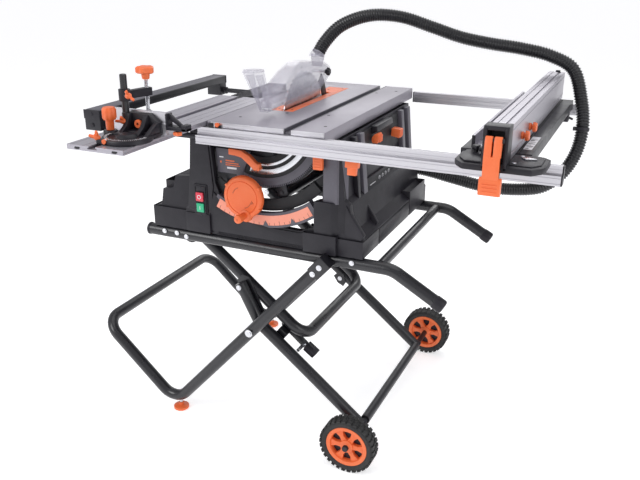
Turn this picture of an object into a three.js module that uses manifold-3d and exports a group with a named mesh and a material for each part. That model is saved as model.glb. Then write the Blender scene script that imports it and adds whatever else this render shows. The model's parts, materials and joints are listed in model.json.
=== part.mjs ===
// A contractor's table saw on a folding, wheeled scissor stand. Millimetres, +Z up.
// Inside the model group x runs along the fence rails, y from the user to the back and z up from the floor;
// the group is then moved so that its origin is the middle of the footprint, on the floor.
import * as THREE from 'three';
import { mergeVertices } from 'three/addons/utils/BufferGeometryUtils.js';
import Module from 'manifold-3d';

const wasm = await Module();
wasm.setup();

// Driving dimensions
const tableTop = 875;
const tableFront = -313;
const tableBack = 333;
const tableLeft = 152.5;
const tableRight = 467;
const gap = 0.3;

// Stand
const tubeRadius = 16;
const tubeSides = 14;
const topRail = { y: 252, z: 540, left: -91, bend: 620, end: { x: 751, z: 465 } };
const leftPivot = { x: 40, z: 534 };
const rightPivot = { x: 448, z: 534 };
const scissorDrop = 225;
const scissor = { x: (leftPivot.x + rightPivot.x) / 2, z: leftPivot.z - scissorDrop };
const innerLegY = 207;
const wheelLegY = 242;
const footLegY = 287;
const wheel = { x: 550, z: 75, radius: 75, rim: 56, y: 342, width: 42 };
const footCorner = { x: -21, z: 16.5 };
const loopCorner = { x: -254, z: 232 };

// Blade, arbor and guard
const bladeX = 262;
const arborZ = 832.5;
const bladeRadius = 127.5;
const bladeThick = 2.6;
const knife = { inner: 131.5, outer: 160, top: 40, foot: 770, thick: 2.4 };
const guardPivot = { y: 116, z: 948 };

// Base housing
const baseFloor = 556.3;
const baseTop = 844.7;
const baseY = 258;
const wallThick = 5;

// Rails and fence
const frontRail = { near: -338, step: -328, back: -314, bottom: 822, ledge: 843.3, top: 862, from: 130, to: 998 };
const rearRail = { y: [336, 352], z: [833, 863], from: 467.3, to: 955 };
const fence = { x: [857, 899], y: [-404, 345], z: [878, 949] };

// Sliding carriage and mitre gauge
const plate = { x: [2, 151], y: [-636, -5], z: [864, 875] };
const gauge = { x: 106, y: -560 };

const axleEnd = wheel.y + wheel.width / 2 + 8;
const footprintCentre = {
  x: (loopCorner.x - tubeRadius + frontRail.to) / 2,
  y: (plate.y[0] + axleEnd) / 2,
};

const paints = {
  blackPlastic: { color: 0x26262b, roughness: 0.6, metalness: 0 },
  blackPaint: { color: 0x303036, roughness: 0.42, metalness: 0.3 },
  greyPaint: { color: 0x8f8c96, roughness: 0.5, metalness: 0.4 },
  silver: { color: 0xc9c8ce, roughness: 0.35, metalness: 0.9 },
  steel: { color: 0xb8bcc4, roughness: 0.3, metalness: 1 },
  orange: { color: 0xee6b3b, roughness: 0.45, metalness: 0 },
  rubber: { color: 0x1b1b1d, roughness: 0.85, metalness: 0 },
  clear: { color: 0xd9d6ea, roughness: 0.15, metalness: 0 },
  red: { color: 0xc22233, roughness: 0.4, metalness: 0 },
  green: { color: 0x1f9a5c, roughness: 0.4, metalness: 0 },
};

const model = new THREE.Group();
model.position.set(-footprintCentre.x, -footprintCentre.y, 0);

// A closed, indexed copy of a geometry with shared vertices and its faces pointing out.
function closed(geometry) {
  const bare = geometry.clone();
  bare.deleteAttribute('normal');
  bare.deleteAttribute('uv');
  const merged = mergeVertices(bare, 1e-4);
  const place = merged.getAttribute('position');
  const faces = [];
  let volume = 0;
  const corner = [new THREE.Vector3(), new THREE.Vector3(), new THREE.Vector3()];
  for (let i = 0; i < merged.index.count; i += 3) {
    const face = [0, 1, 2].map((k) => merged.index.getX(i + k));
    if (face[0] === face[1] || face[1] === face[2] || face[2] === face[0]) continue;
    face.forEach((v, k) => corner[k].fromBufferAttribute(place, v));
    volume += corner[0].dot(corner[1].clone().cross(corner[2]));
    faces.push(face);
  }
  merged.setIndex(faces.flatMap((f) => (volume < 0 ? [f[0], f[2], f[1]] : f)));
  return merged;
}

function toSolid(geometry) {
  const g = closed(geometry);
  const mesh = new wasm.Mesh({
    numProp: 3,
    vertProperties: new Float32Array(g.getAttribute('position').array),
    triVerts: new Uint32Array(g.index.array),
  });
  return new wasm.Manifold(mesh);
}

function fromSolid(solid) {
  const mesh = solid.getMesh();
  const g = new THREE.BufferGeometry();
  g.setAttribute('position', new THREE.BufferAttribute(new Float32Array(mesh.vertProperties), 3));
  g.setIndex(new THREE.BufferAttribute(new Uint32Array(mesh.triVerts), 1));
  return g;
}

function join(...geometries) {
  return fromSolid(geometries.map(toSolid).reduce((a, b) => a.add(b)));
}

function cut(geometry, ...tools) {
  return fromSolid(tools.map(toSolid).reduce((a, b) => a.subtract(b), toSolid(geometry)));
}

function common(a, b) {
  return fromSolid(toSolid(a).intersect(toSolid(b)));
}

function addMesh(name, geometry, paint, at = [0, 0, 0]) {
  const shape = closed(geometry).toNonIndexed();
  shape.computeVertexNormals();
  const mesh = new THREE.Mesh(shape, new THREE.MeshStandardMaterial({ ...paints[paint] }));
  mesh.name = name;
  mesh.position.set(...at);
  model.add(mesh);
  return mesh;
}

function boxAt(x, y, z) {
  const g = new THREE.BoxGeometry(x[1] - x[0], y[1] - y[0], z[1] - z[0]);
  return g.translate((x[0] + x[1]) / 2, (y[0] + y[1]) / 2, (z[0] + z[1]) / 2);
}

// A round bar between two points.
function barBetween(a, b, radius, sides = 16) {
  const from = new THREE.Vector3(...a);
  const to = new THREE.Vector3(...b);
  const along = to.clone().sub(from);
  const g = new THREE.CylinderGeometry(radius, radius, along.length(), sides);
  g.applyQuaternion(new THREE.Quaternion().setFromUnitVectors(new THREE.Vector3(0, 1, 0), along.normalize()));
  const mid = from.add(to).multiplyScalar(0.5);
  return g.translate(mid.x, mid.y, mid.z);
}

function outlineShape(points) {
  return new THREE.Shape(points.map((p) => new THREE.Vector2(p[0], p[1])));
}

// Outlines in (x, z), (y, z) and (x, y) drawn out along y, x and z.
function prismAlongY(points, y) {
  const g = new THREE.ExtrudeGeometry(outlineShape(points), { depth: y[1] - y[0], bevelEnabled: false });
  return g.rotateX(Math.PI / 2).translate(0, y[1], 0);
}

function prismAlongX(points, x) {
  const g = new THREE.ExtrudeGeometry(outlineShape(points), { depth: x[1] - x[0], bevelEnabled: false });
  return g.rotateX(Math.PI / 2).rotateZ(Math.PI / 2).translate(x[0], 0, 0);
}

function prismAlongZ(points, z) {
  const g = new THREE.ExtrudeGeometry(outlineShape(points), { depth: z[1] - z[0], bevelEnabled: false });
  return g.translate(0, 0, z[0]);
}

function arcPoints(cx, cy, radius, from, to, steps) {
  return Array.from({ length: steps + 1 }, (_, i) => {
    const a = THREE.MathUtils.degToRad(from + ((to - from) * i) / steps);
    return [cx + radius * Math.cos(a), cy + radius * Math.sin(a)];
  });
}

function turned(profile, sides) {
  return new THREE.LatheGeometry(profile.map((p) => new THREE.Vector2(p[0], p[1])), sides);
}

// A curve that visits its own list of stations, so that bends get more sections than straights.
class StationPath extends THREE.Curve {
  constructor(stations) {
    super();
    this.stations = stations;
  }
  stationAt(u) {
    return this.stations[Math.round(u * (this.stations.length - 1))];
  }
  getPoint(u, target = new THREE.Vector3()) {
    return target.copy(this.stationAt(u).place);
  }
  getPointAt(u, target) {
    return this.getPoint(u, target);
  }
  getTangentAt(u, target = new THREE.Vector3()) {
    return target.copy(this.stationAt(u).ahead);
  }
}

function ring(radius, sides) {
  return outlineShape(arcPoints(0, 0, radius, 0, 360 - 360 / sides, sides - 1));
}

function sweep(stations, radius, sides) {
  const path = new StationPath(stations);
  const options = { steps: stations.length - 1, bevelEnabled: false, extrudePath: path };
  return new THREE.ExtrudeGeometry(ring(radius, sides), options);
}

// A tube through corner points, each corner rounded to the bend radius.
function bentTube(points, bendRadius, radius = tubeRadius, sides = tubeSides, stepsPerBend = 6) {
  const corners = points.map((p) => new THREE.Vector3(...p));
  const stations = [];
  const last = corners.length - 1;
  for (let i = 0; i <= last; i += 1) {
    const before = i > 0 ? corners[i].clone().sub(corners[i - 1]).normalize() : null;
    const after = i < last ? corners[i + 1].clone().sub(corners[i]).normalize() : null;
    if (!before || !after) {
      stations.push({ place: corners[i], ahead: before ?? after });
      continue;
    }
    const turn = before.angleTo(after);
    const setback = bendRadius * Math.tan(turn / 2);
    const start = corners[i].clone().addScaledVector(before, -setback);
    const inward = after.clone().addScaledVector(before, -after.dot(before)).normalize();
    const centre = start.clone().addScaledVector(inward, bendRadius);
    for (let k = 0; k <= stepsPerBend; k += 1) {
      const a = (turn * k) / stepsPerBend;
      const place = centre.clone().addScaledVector(before, bendRadius * Math.sin(a));
      place.addScaledVector(inward, -bendRadius * Math.cos(a));
      const ahead = before.clone().multiplyScalar(Math.cos(a)).addScaledVector(inward, Math.sin(a));
      stations.push({ place, ahead });
    }
  }
  return sweep(stations, radius, sides);
}

// A thin wall that follows a path in (x, z), its thickness laid to the path's right.
function wallStrip(path, thick) {
  const side = path.slice(1).map((p, i) => {
    const d = new THREE.Vector2(p[0] - path[i][0], p[1] - path[i][1]).normalize();
    return new THREE.Vector2(d.y, -d.x);
  });
  const inner = path.map((p, i) => {
    const a = side[Math.max(i - 1, 0)];
    const b = side[Math.min(i, side.length - 1)];
    const k = thick / (1 + a.dot(b));
    return [p[0] + (a.x + b.x) * k, p[1] + (a.y + b.y) * k];
  });
  return [...path, ...inner.reverse()];
}

// --- Stand -------------------------------------------------------------------------------------------

function topRailTube(side) {
  const y = side * topRail.y;
  return bentTube([
    [topRail.left, y, topRail.z],
    [topRail.bend, y, topRail.z],
    [topRail.end.x, y, topRail.end.z],
  ], 70);
}

function crossTube(x) {
  const reach = topRail.y - tubeRadius - gap;
  return barBetween([x, -reach, topRail.z], [x, reach, topRail.z], 13);
}

// The U of tube that hangs from the top rails' left pivots.
function innerFrame() {
  const corner = { x: 362, z: 276 };
  return bentTube([
    [leftPivot.x, -innerLegY, leftPivot.z],
    [corner.x, -innerLegY, corner.z],
    [corner.x, innerLegY, corner.z],
    [leftPivot.x, innerLegY, leftPivot.z],
  ], 50);
}

function wheelLeg(side) {
  const y = side * wheelLegY;
  const tube = bentTube([[186, y, 420], [scissor.x, y, scissor.z], [416, y, 172], [552, y, 62]], 60);
  const bore = (x, z, radius) => barBetween([x, y - 30, z], [x, y + 30, z], radius);
  return cut(tube, bore(scissor.x, scissor.z, 6.4), bore(wheel.x, wheel.z, 8.4));
}

function wheelAxle() {
  const shoulder = wheelLegY - tubeRadius - 1;
  const end = axleEnd;
  return turned([[0, -end], [8, -end], [8, -shoulder], [13, -shoulder],
    [13, shoulder], [8, shoulder], [8, end], [0, end]], 16);
}

function scissorPin(side) {
  const inside = wheelLegY - tubeRadius - 3;
  const spacer = [wheelLegY + tubeRadius + gap, footLegY - tubeRadius - gap];
  const outside = footLegY + tubeRadius;
  const profile = [[0, inside], [6, inside], [6, spacer[0]], [12, spacer[0]], [12, spacer[1]],
    [6, spacer[1]], [6, outside + 1], [11, outside + 1], [11, outside + 7], [0, outside + 7]];
  return turned(profile.map((p) => [p[0], side * p[1]]), 16);
}

// One loop of tube: down from the right saddles, along the floor corners and up to the pull bar.
function footLoop() {
  const half = (side) => {
    const y = side * footLegY;
    return [[rightPivot.x, y, rightPivot.z], [footCorner.x, y, footCorner.z], [loopCorner.x, y, loopCorner.z]];
  };
  const tube = bentTube([...half(-1), ...half(1).reverse()], 55);
  const slope = Math.atan2(scissorDrop, rightPivot.x - scissor.x);
  const block = (side) => {
    const g = new THREE.BoxGeometry(50, 33, 34);
    g.rotateY(-slope);
    return g.translate(rightPivot.x, side * footLegY, rightPivot.z);
  };
  const bore = (side) => barBetween([scissor.x, side * (footLegY - 30), scissor.z],
    [scissor.x, side * (footLegY + 30), scissor.z], 6.4);
  return cut(join(tube, block(-1), block(1)), bore(-1), bore(1));
}

function levellingFoot() {
  return turned([[0, 0], [20, 0], [22, 3], [22, 9], [7, 12], [7, 19.5], [0, 19.5]], 20);
}

function tyre() {
  const half = wheel.width / 2;
  const r = wheel.radius;
  return turned([[wheel.rim, -half + 3], [r - 7, -half], [r - 1, -half + 7], [r, -half + 14],
    [r, half - 14], [r - 1, half - 7], [r - 7, half], [wheel.rim, half - 3], [wheel.rim, -half + 3]], 36);
}

function hub() {
  const half = wheel.width / 2 - 6;
  const r = wheel.rim - gap;
  return turned([[8.4, -half - 5], [17, -half - 5], [20, -half + 5], [r - 10, -half + 6], [r - 8, -half],
    [r, -half], [r, half], [r - 8, half], [r - 10, half - 6], [20, half - 5], [17, half + 5],
    [8.4, half + 5], [8.4, -half - 5]], 30);
}

function buildStand() {
  const sides = { front: -1, rear: 1 };
  addMesh('cross_tube_left', crossTube(-60), 'blackPaint');
  addMesh('cross_tube_right', crossTube(585), 'blackPaint');
  addMesh('inner_frame', innerFrame(), 'blackPaint');
  addMesh('wheel_axle', wheelAxle(), 'steel', [wheel.x, 0, wheel.z]);
  addMesh('foot_loop', footLoop(), 'blackPaint');
  for (const [end, side] of Object.entries(sides)) {
    addMesh(`top_rail_${end}`, topRailTube(side), 'blackPaint');
    addMesh(`wheel_leg_${end}`, wheelLeg(side), 'blackPaint');
    addMesh(`scissor_pin_${end}`, scissorPin(side), 'steel', [scissor.x, 0, scissor.z]);
    addMesh(`tyre_${end}`, tyre(), 'rubber', [wheel.x, side * wheel.y, wheel.z]);
    addMesh(`wheel_hub_${end}`, hub(), 'orange', [wheel.x, side * wheel.y, wheel.z]);
    addMesh(`levelling_foot_${end}`, levellingFoot().rotateX(Math.PI / 2), 'orange', [-4, side * footLegY, 0]);
  }
}

// --- Base housing ------------------------------------------------------------------------------------

const leftFlare = [[-63, baseFloor], [-63, 612], [-41, 618], [-33, 664], [0, 670], [9, 704], [54, 708],
  [66, baseTop]];
const rightFlare = [[480, baseTop], [494, 700], [508, 690], [520, 622], [545, 604], [545, baseFloor]];
const bowl = [[440, baseTop], [436, 700], [428, 628], [376, 604], [290, 606], [205, 622], [150, 655], [132, 700],
  [118, baseTop]];

function buildBase() {
  const inside = baseY - 18 - gap;
  addMesh('base_front', prismAlongY([...leftFlare, ...[...bowl].reverse(), ...rightFlare], [-baseY, -baseY + 18]),
    'blackPlastic');
  addMesh('base_rear', prismAlongY([...leftFlare, ...rightFlare], [baseY - 6, baseY]), 'blackPlastic');
  addMesh('base_left', prismAlongY(wallStrip(leftFlare, wallThick), [-inside, baseY - 6 - gap]), 'blackPlastic');
  addMesh('base_right', prismAlongY(wallStrip(rightFlare, wallThick), [-inside, baseY - 6 - gap]), 'blackPlastic');
  addMesh('switch_plate', boxAt([73, 109], [-264, -baseY - gap], [610, 682]), 'blackPlastic');
  addMesh('stop_button', boxAt([80, 102], [-273, -268], [648, 672]), 'red');
  addMesh('start_button', boxAt([80, 102], [-272, -268], [618, 642]), 'green');
  addMesh('dust_port', boxAt([340, 430], [baseY + gap, 326], [600, 680]), 'blackPlastic');
}

// --- Table -------------------------------------------------------------------------------------------

function tablePanel(x) {
  const skin = 12;
  const rim = 6;
  const panel = boxAt(x, [tableFront, tableBack], [845, tableTop]);
  return cut(panel, boxAt([x[0] + rim, x[1] - rim], [tableFront + rim, tableBack - rim], [840, tableTop - skin]));
}

function buildTable() {
  const throat = { x: [231, 294], y: [-130, 250] };
  const slot = { x: [361, 385] };
  const inset = (range) => [range[0] + gap, range[1] - gap];
  addMesh('table_main', cut(tablePanel([tableLeft, slot.x[0]]), boxAt(throat.x, throat.y, [860, 880])), 'greyPaint');
  addMesh('table_wing', tablePanel([slot.x[1], tableRight]), 'greyPaint');
  addMesh('mitre_track', cut(boxAt(inset(slot.x), [tableFront, tableBack], [855, tableTop]),
    boxAt([364, 382], [tableFront - 1, tableBack + 1], [866, 880])), 'greyPaint');
  addMesh('throat_plate', cut(boxAt(inset(throat.x), inset(throat.y), [871, tableTop]),
    boxAt([257.5, 270.5], [-126, 167], [865, 880])), 'orange');
}

// --- Blade unit --------------------------------------------------------------------------------------

function trunnion() {
  const outer = arcPoints(bladeX, tableTop, 178, -165, -15, 24);
  const inner = arcPoints(bladeX, tableTop, 130, -15, -165, 20);
  return prismAlongY([...outer, ...inner], [-223, -215]);
}

// Two end plates and the bar that ties them together; it hangs from the table on the bevel axis.
function tiltCradle() {
  const outline = [[-115, -45], [8, -62], [70, -128], [76, -216], [-60, -232], [-105, -205]]
    .map((p) => [bladeX + p[0], tableTop + p[1]]);
  const bar = { x: bladeX + 55, z: tableTop - 190 };
  const knifeBlock = boxAt([254, 270], [162, 230], [765, 805]);
  return join(prismAlongY(outline, [-236, -227]), prismAlongY(outline, [227, 236]),
    barBetween([bar.x, -230, bar.z], [bar.x, 230, bar.z], 12), knifeBlock);
}

function motorUnit() {
  const motor = barBetween([92, 40, 770], [240, 40, 770], 46, 24);
  const fanCap = barBetween([84, 40, 770], [94, 40, 770], 38, 24);
  const gearCase = boxAt([236, 257], [-60, 84], [764, 858]);
  const liftArm = boxAt([238, 255], [-205, -50], [775, 800]);
  return join(motor, fanCap, gearCase, liftArm);
}

function sawBlade() {
  const disc = turned([[12.7, -bladeThick / 2], [bladeRadius, -bladeThick / 2],
    [bladeRadius, bladeThick / 2], [12.7, bladeThick / 2], [12.7, -bladeThick / 2]], 60);
  return disc.rotateZ(-Math.PI / 2);
}

function arbor() {
  const inner = -bladeThick / 2 - gap;
  const outer = bladeThick / 2 + gap;
  const profile = [[0, inner - 2.4], [22, inner - 2.4], [22, inner], [12.3, inner], [12.3, outer],
    [15, outer], [15, outer + 11], [0, outer + 11]];
  return turned(profile, 24).rotateZ(-Math.PI / 2);
}

function rivingKnife() {
  const outline = [[knife.outer, knife.foot], ...arcPoints(0, arborZ, knife.outer, 0, knife.top, 8),
    ...arcPoints(0, arborZ, knife.inner, knife.top, 0, 8), [knife.inner, knife.foot]];
  return prismAlongX(outline, [bladeX - knife.thick / 2, bladeX + knife.thick / 2]);
}

// A clear shell over the blade, wedge-shaped below so that it clears the table when the blade leans.
function guardShell() {
  const profile = [[-202, 893], [-190, 886], [-137, 882], [-80, 882], [-20, 886], [43, 898], [95, 915],
    [130, 932], [127, 957], [95, 972], [43, 981], [-51, 990], [-110, 972], [-163, 944], [-185, 925]];
  const section = (inset) => {
    const half = [[4.5, 882], [24, 903], [24, 955], [15, 992]];
    const right = half.map((p) => [bladeX + Math.max(p[0] - inset, 2), p[1] + inset * (p[1] < 950 ? 0.8 : -1)]);
    const left = right.map((p) => [2 * bladeX - p[0], p[1]]).reverse();
    return [...right, ...left];
  };
  const shrink = (p) => [p[0] * 0.972 - 1, 935 + (p[1] - 935) * 0.93];
  const outside = common(prismAlongX(profile, [200, 330]), prismAlongY(section(0), [-260, 200]));
  const inside = common(prismAlongX(profile.map(shrink), [200, 330]), prismAlongY(section(2.5), [-260, 200]));
  const mouth = boxAt([bladeX - 16, bladeX + 16], [-178, 60], [870, 905]);
  const knifeSlot = boxAt([bladeX - 3.2, bladeX + 3.2], [55, 200], [870, 941]);
  return cut(outside, inside, mouth, knifeSlot);
}

function guardFlap() {
  const outline = [[-224, 888], [-204, 888], [-203.5, 900], [-238, 998], [-300, 1003], [-303, 992]];
  return prismAlongX(outline, [bladeX - 12, bladeX + 12]);
}

function crankWheel() {
  const centre = { x: 232, z: 683 };
  const disc = turned([[0, -296], [48, -296], [55, -290], [55, -278], [50, -272], [7, -272], [7, -237],
    [0, -237]], 36).translate(centre.x, 0, centre.z);
  return disc;
}

function buildBladeUnit() {
  addMesh('trunnion', trunnion(), 'blackPlastic');
  addMesh('tilt_cradle', tiltCradle(), 'blackPaint');
  addMesh('motor_unit', motorUnit(), 'blackPaint');
  addMesh('saw_blade', sawBlade(), 'steel', [bladeX, 0, arborZ]);
  addMesh('arbor', arbor(), 'steel', [bladeX, 0, arborZ]);
  addMesh('riving_knife', rivingKnife(), 'blackPaint');
  addMesh('blade_guard', guardShell(), 'clear');
  addMesh('guard_flap', guardFlap(), 'clear');
  addMesh('hose_cuff', cuff(), 'clear');
  addMesh('crank_wheel', crankWheel(), 'orange');
  addMesh('crank_handle', turned([[0, -335], [9, -335], [11, -330], [10, -304], [8, -296.3], [0, -296.3]], 20),
    'orange', [239, 0, 638]);
  addMesh('bevel_lock_lever', bevelLever(), 'orange');
}

function bevelLever() {
  const outline = [[190, 799], [222, 797], [246, 785], [270, 764], [264, 754], [240, 770], [216, 783], [190, 786]];
  return prismAlongY(outline, [-274, -262]);
}

// --- Dust hose ---------------------------------------------------------------------------------------

const hoseRadius = 18.5;
const hoseRoute = [[262, 101, 994], [271, 122, 1020], [300, 168, 1062], [362, 232, 1088], [440, 275, 1084],
  [525, 298, 1058], [610, 310, 1032], [695, 314, 1018], [780, 315, 1009], [860, 318, 993], [920, 322, 962],
  [953, 308, 885], [967, 290, 815], [960, 278, 745], [930, 274, 682], [880, 274, 636], [800, 280, 616],
  [710, 290, 612], [620, 298, 622], [520, 300, 637], [430.3, 300, 640]];

function hosePath() {
  return new THREE.CatmullRomCurve3(hoseRoute.map((p) => new THREE.Vector3(...p)), false, 'centripetal');
}

function hoseTube() {
  const path = hosePath();
  const steps = 40;
  const stations = Array.from({ length: steps + 1 }, (_, i) => ({
    place: path.getPointAt(i / steps),
    ahead: path.getTangentAt(i / steps),
  }));
  stations[steps].ahead = new THREE.Vector3(-1, 0, 0);
  return sweep(stations, hoseRadius, 10);
}

// The sleeve between the guard's outlet and the hose.
function cuff() {
  const start = new THREE.Vector3(...hoseRoute[0]);
  const ahead = hosePath().getTangentAt(0);
  const at = (d) => start.clone().addScaledVector(ahead, d).toArray();
  return cut(barBetween(at(-24), at(-gap), 20, 20), boxAt([200, 330], [0, 200], [900, 988]));
}

// --- Fence rails and rip fence -----------------------------------------------------------------------

function buildRails() {
  const r = frontRail;
  const section = [[r.near, r.bottom], [r.back, r.bottom], [r.back, r.top], [r.step, r.top], [r.step, r.ledge],
    [r.near, r.ledge]];
  addMesh('front_rail', prismAlongX(section, [r.from, r.to]), 'silver');
  addMesh('rear_rail', boxAt([rearRail.from, rearRail.to], rearRail.y, rearRail.z), 'silver');
  addMesh('right_support_bar', boxAt([782, 930], [r.back + gap, rearRail.y[0] - gap], [850, 875]), 'blackPaint');
  addMesh('rail_lock_lever', prismAlongX([[-300, 778], [-284, 778], [-280, 812], [-298, 812]], [519, 535]), 'orange');
}

function buildFence() {
  addMesh('rip_fence', boxAt(fence.x, [-400, fence.y[1]], fence.z), 'silver');
  const cap = boxAt([853, 903], [-440, -400.3], [868, 955]);
  const plates = prismAlongZ([[794, -408], [816, -440], [951, -440], [973, -408], [973, -345], [958, -330],
    [809, -330], [794, -345]], [864.5, 877.5]);
  addMesh('fence_head', join(cap, plates), 'blackPlastic');
  addMesh('fence_cam_lever', prismAlongX([[-462, 824], [-446, 820], [-441, 860], [-440.4, 932], [-452, 938],
    [-460, 900], [-458, 850]], [857, 897]), 'orange');
  const low = join(boxAt([806, 850], [-320, 235], [880, 885]), boxAt([806, 813], [-320, 235], [880, 906]));
  addMesh('low_fence', low, 'blackPaint');
}

// --- Left support, carriage and mitre gauge ----------------------------------------------------------

function leftSupport() {
  const bar = boxAt([-210, -161], [-332, 300], [853, 875]);
  const nearBlock = boxAt([-210, -161], [-332, -242], [822, 854]);
  const farBlock = boxAt([-210, -161], [262, 300], [816, 854]);
  const tubes = [-300, 285].map((y) => barBetween([-165, y, 830], [135, y, 830], 7.5, 14));
  return join(bar, nearBlock, farBlock, ...tubes);
}

function buildCarriage() {
  const track = boxAt([61, 79], [plate.y[0] - 1, plate.y[1] + 1], [869, 880]);
  addMesh('carriage_table', cut(boxAt(plate.x, plate.y, plate.z), track), 'silver');
  const guide = boxAt([3, 60], [-285, 300], [846, 863]);
  const arms = [[-285, -262], [200, 234]].map((y) => boxAt([50, tableLeft - gap], y, [846, 858]));
  addMesh('carriage_guide', join(guide, ...arms), 'blackPlastic');
  addMesh('left_support', leftSupport(), 'blackPaint');
}

function protractor() {
  const disc = turned([[0, 0], [54, 0], [56, 3], [54, 11], [18, 12], [18, 16], [0, 16]], 40).rotateX(Math.PI / 2);
  const lug = barBetween([-57, 15, 0], [-57, 15, 16], 16, 20);
  const web = boxAt([-57, -20], [3, 27], [0, 14]);
  const upright = prismAlongX([[5, 8], [67, 8], [67, 51], [55, 51], [48, 32], [12, 20]], [-36, 20]);
  const brace = prismAlongX([[5, 8], [67, 8], [67, 36], [48, 28], [12, 18]], [19, 46]);
  const post = barBetween([-42, 55, 4], [-42, 55, 134], 8, 14);
  return join(disc, lug, web, upright, brace, post);
}

function buildGauge() {
  const bottom = tableTop + gap;
  addMesh('protractor', protractor(), 'blackPlastic', [gauge.x, gauge.y, bottom]);
  addMesh('gauge_handle', turned([[0, 0], [9, 0], [9, 22], [15, 26], [16, 46], [12, 50], [0, 50]], 20)
    .rotateX(Math.PI / 2), 'orange', [gauge.x - 57, gauge.y + 15, bottom + 16.5]);
  addMesh('gauge_fence', boxAt([0, 160], [-492.4, -480], [878, 928]), 'silver');
  const bracket = [[160.3, 890], [214, 890], [214, 903], [196, 905], [166, 926], [160.3, 926]];
  addMesh('fence_end_bracket', prismAlongY(bracket, [-494, -472]), 'blackPlastic');
  const arm = barBetween([64, -505, 950], [64, -505, 976], 13, 16);
  const reach = prismAlongZ([[60, -503], [72, -509], [92, -440], [76, -434]], [954, 972]);
  const post = barBetween([64, -505, 900], [64, -505, 1040], 8.4, 14);
  const bore = barBetween([80, -445, 940], [80, -445, 990], 5.4, 12);
  addMesh('clamp_arm', cut(join(arm, reach), post, bore), 'blackPaint');
  addMesh('clamp_screw', turned([[0, 914], [8, 914], [8, 918], [5, 920], [5, 991], [9, 992], [9, 1002], [21, 1005],
    [22, 1016], [18, 1019], [0, 1019]], 20).rotateX(Math.PI / 2), 'orange', [80, -445, 0]);
}

buildStand();
buildBase();
buildTable();
buildBladeUnit();
buildRails();
buildFence();
buildCarriage();
buildGauge();
addMesh('dust_hose', hoseTube(), 'rubber');

export default model;
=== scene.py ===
# Looks for a contractor's table saw with a sliding carriage, on a folding wheeled stand.
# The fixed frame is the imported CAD; every piece made here rides on one of its bodies.
import json
import math
import bmesh
import bpy
from mathutils import Matrix, Vector


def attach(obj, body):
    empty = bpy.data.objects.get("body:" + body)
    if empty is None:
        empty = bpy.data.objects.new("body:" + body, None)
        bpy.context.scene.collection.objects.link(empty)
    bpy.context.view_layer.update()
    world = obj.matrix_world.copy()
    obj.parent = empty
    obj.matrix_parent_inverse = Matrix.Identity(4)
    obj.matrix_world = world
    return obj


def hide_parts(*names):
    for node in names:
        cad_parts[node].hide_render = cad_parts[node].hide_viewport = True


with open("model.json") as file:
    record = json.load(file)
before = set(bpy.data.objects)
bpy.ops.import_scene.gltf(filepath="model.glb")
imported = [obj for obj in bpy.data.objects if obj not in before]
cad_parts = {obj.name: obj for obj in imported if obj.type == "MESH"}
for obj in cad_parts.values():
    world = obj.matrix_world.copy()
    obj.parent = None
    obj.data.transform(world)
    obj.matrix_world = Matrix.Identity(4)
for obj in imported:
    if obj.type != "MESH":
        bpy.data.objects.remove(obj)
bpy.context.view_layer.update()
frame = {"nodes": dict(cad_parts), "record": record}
scene = bpy.context.scene

# The workshop drawing is in millimetres, with x along the rails, y to the back and z up from the floor.
drawingOrigin = Vector((364, -132.5, 0))
toFrame = Matrix.Scale(0.001, 4) @ Matrix.Translation(-drawingOrigin)
toDrawing = toFrame.inverted()


# Small tools for closed shapes.

def onAxis(axis, a, b, along):
    if axis == "x":
        return Vector((along, a, b))
    if axis == "y":
        return Vector((a, along, b))
    return Vector((a, b, along))


def easeEdges(part, width, segments=2, above=28):
    part.normal_update()
    sharp = [e for e in part.edges if e.is_manifold and e.calc_face_angle(0) > math.radians(above)]
    if sharp:
        bmesh.ops.bevel(part, geom=sharp, offset=width, segments=segments, profile=0.6,
                        affect="EDGES", clamp_overlap=True)


def blockShape(x, y, z):
    part = bmesh.new()
    bmesh.ops.create_cube(part, size=1)
    size = Matrix.Diagonal((x[1] - x[0], y[1] - y[0], z[1] - z[0], 1))
    middle = Vector(((x[0] + x[1]) / 2, (y[0] + y[1]) / 2, (z[0] + z[1]) / 2))
    bmesh.ops.transform(part, matrix=Matrix.Translation(middle) @ size, verts=part.verts)
    return part


def slabShape(axis, outline, span):
    part = bmesh.new()
    near = [part.verts.new(onAxis(axis, a, b, span[0])) for a, b in outline]
    far = [part.verts.new(onAxis(axis, a, b, span[1])) for a, b in outline]
    part.faces.new(near)
    part.faces.new(far[::-1])
    for i in range(len(near)):
        j = (i + 1) % len(near)
        part.faces.new((near[i], far[i], far[j], near[j]))
    return part


def arcLine(cx, cz, radius, start, end, steps):
    angles = [math.radians(start + (end - start) * i / steps) for i in range(steps + 1)]
    return [(cx + radius * math.cos(a), cz + radius * math.sin(a)) for a in angles]


def sectorShape(centre, radii, angles, span, steps=24, axis="y"):
    outer = arcLine(centre[0], centre[1], radii[1], angles[0], angles[1], steps)
    inner = arcLine(centre[0], centre[1], radii[0], angles[0], angles[1], steps)
    part = bmesh.new()
    rows = [[part.verts.new(onAxis(axis, a, b, s)) for a, b in line] for line in (inner, outer) for s in span]
    nearIn, farIn, nearOut, farOut = rows
    for i in range(steps):
        part.faces.new((nearIn[i], nearIn[i + 1], nearOut[i + 1], nearOut[i]))
        part.faces.new((farIn[i], farOut[i], farOut[i + 1], farIn[i + 1]))
        part.faces.new((nearOut[i], nearOut[i + 1], farOut[i + 1], farOut[i]))
        part.faces.new((nearIn[i], farIn[i], farIn[i + 1], nearIn[i + 1]))
    for i in (0, steps):
        part.faces.new((nearIn[i], nearOut[i], farOut[i], farIn[i]))
    return part


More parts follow.
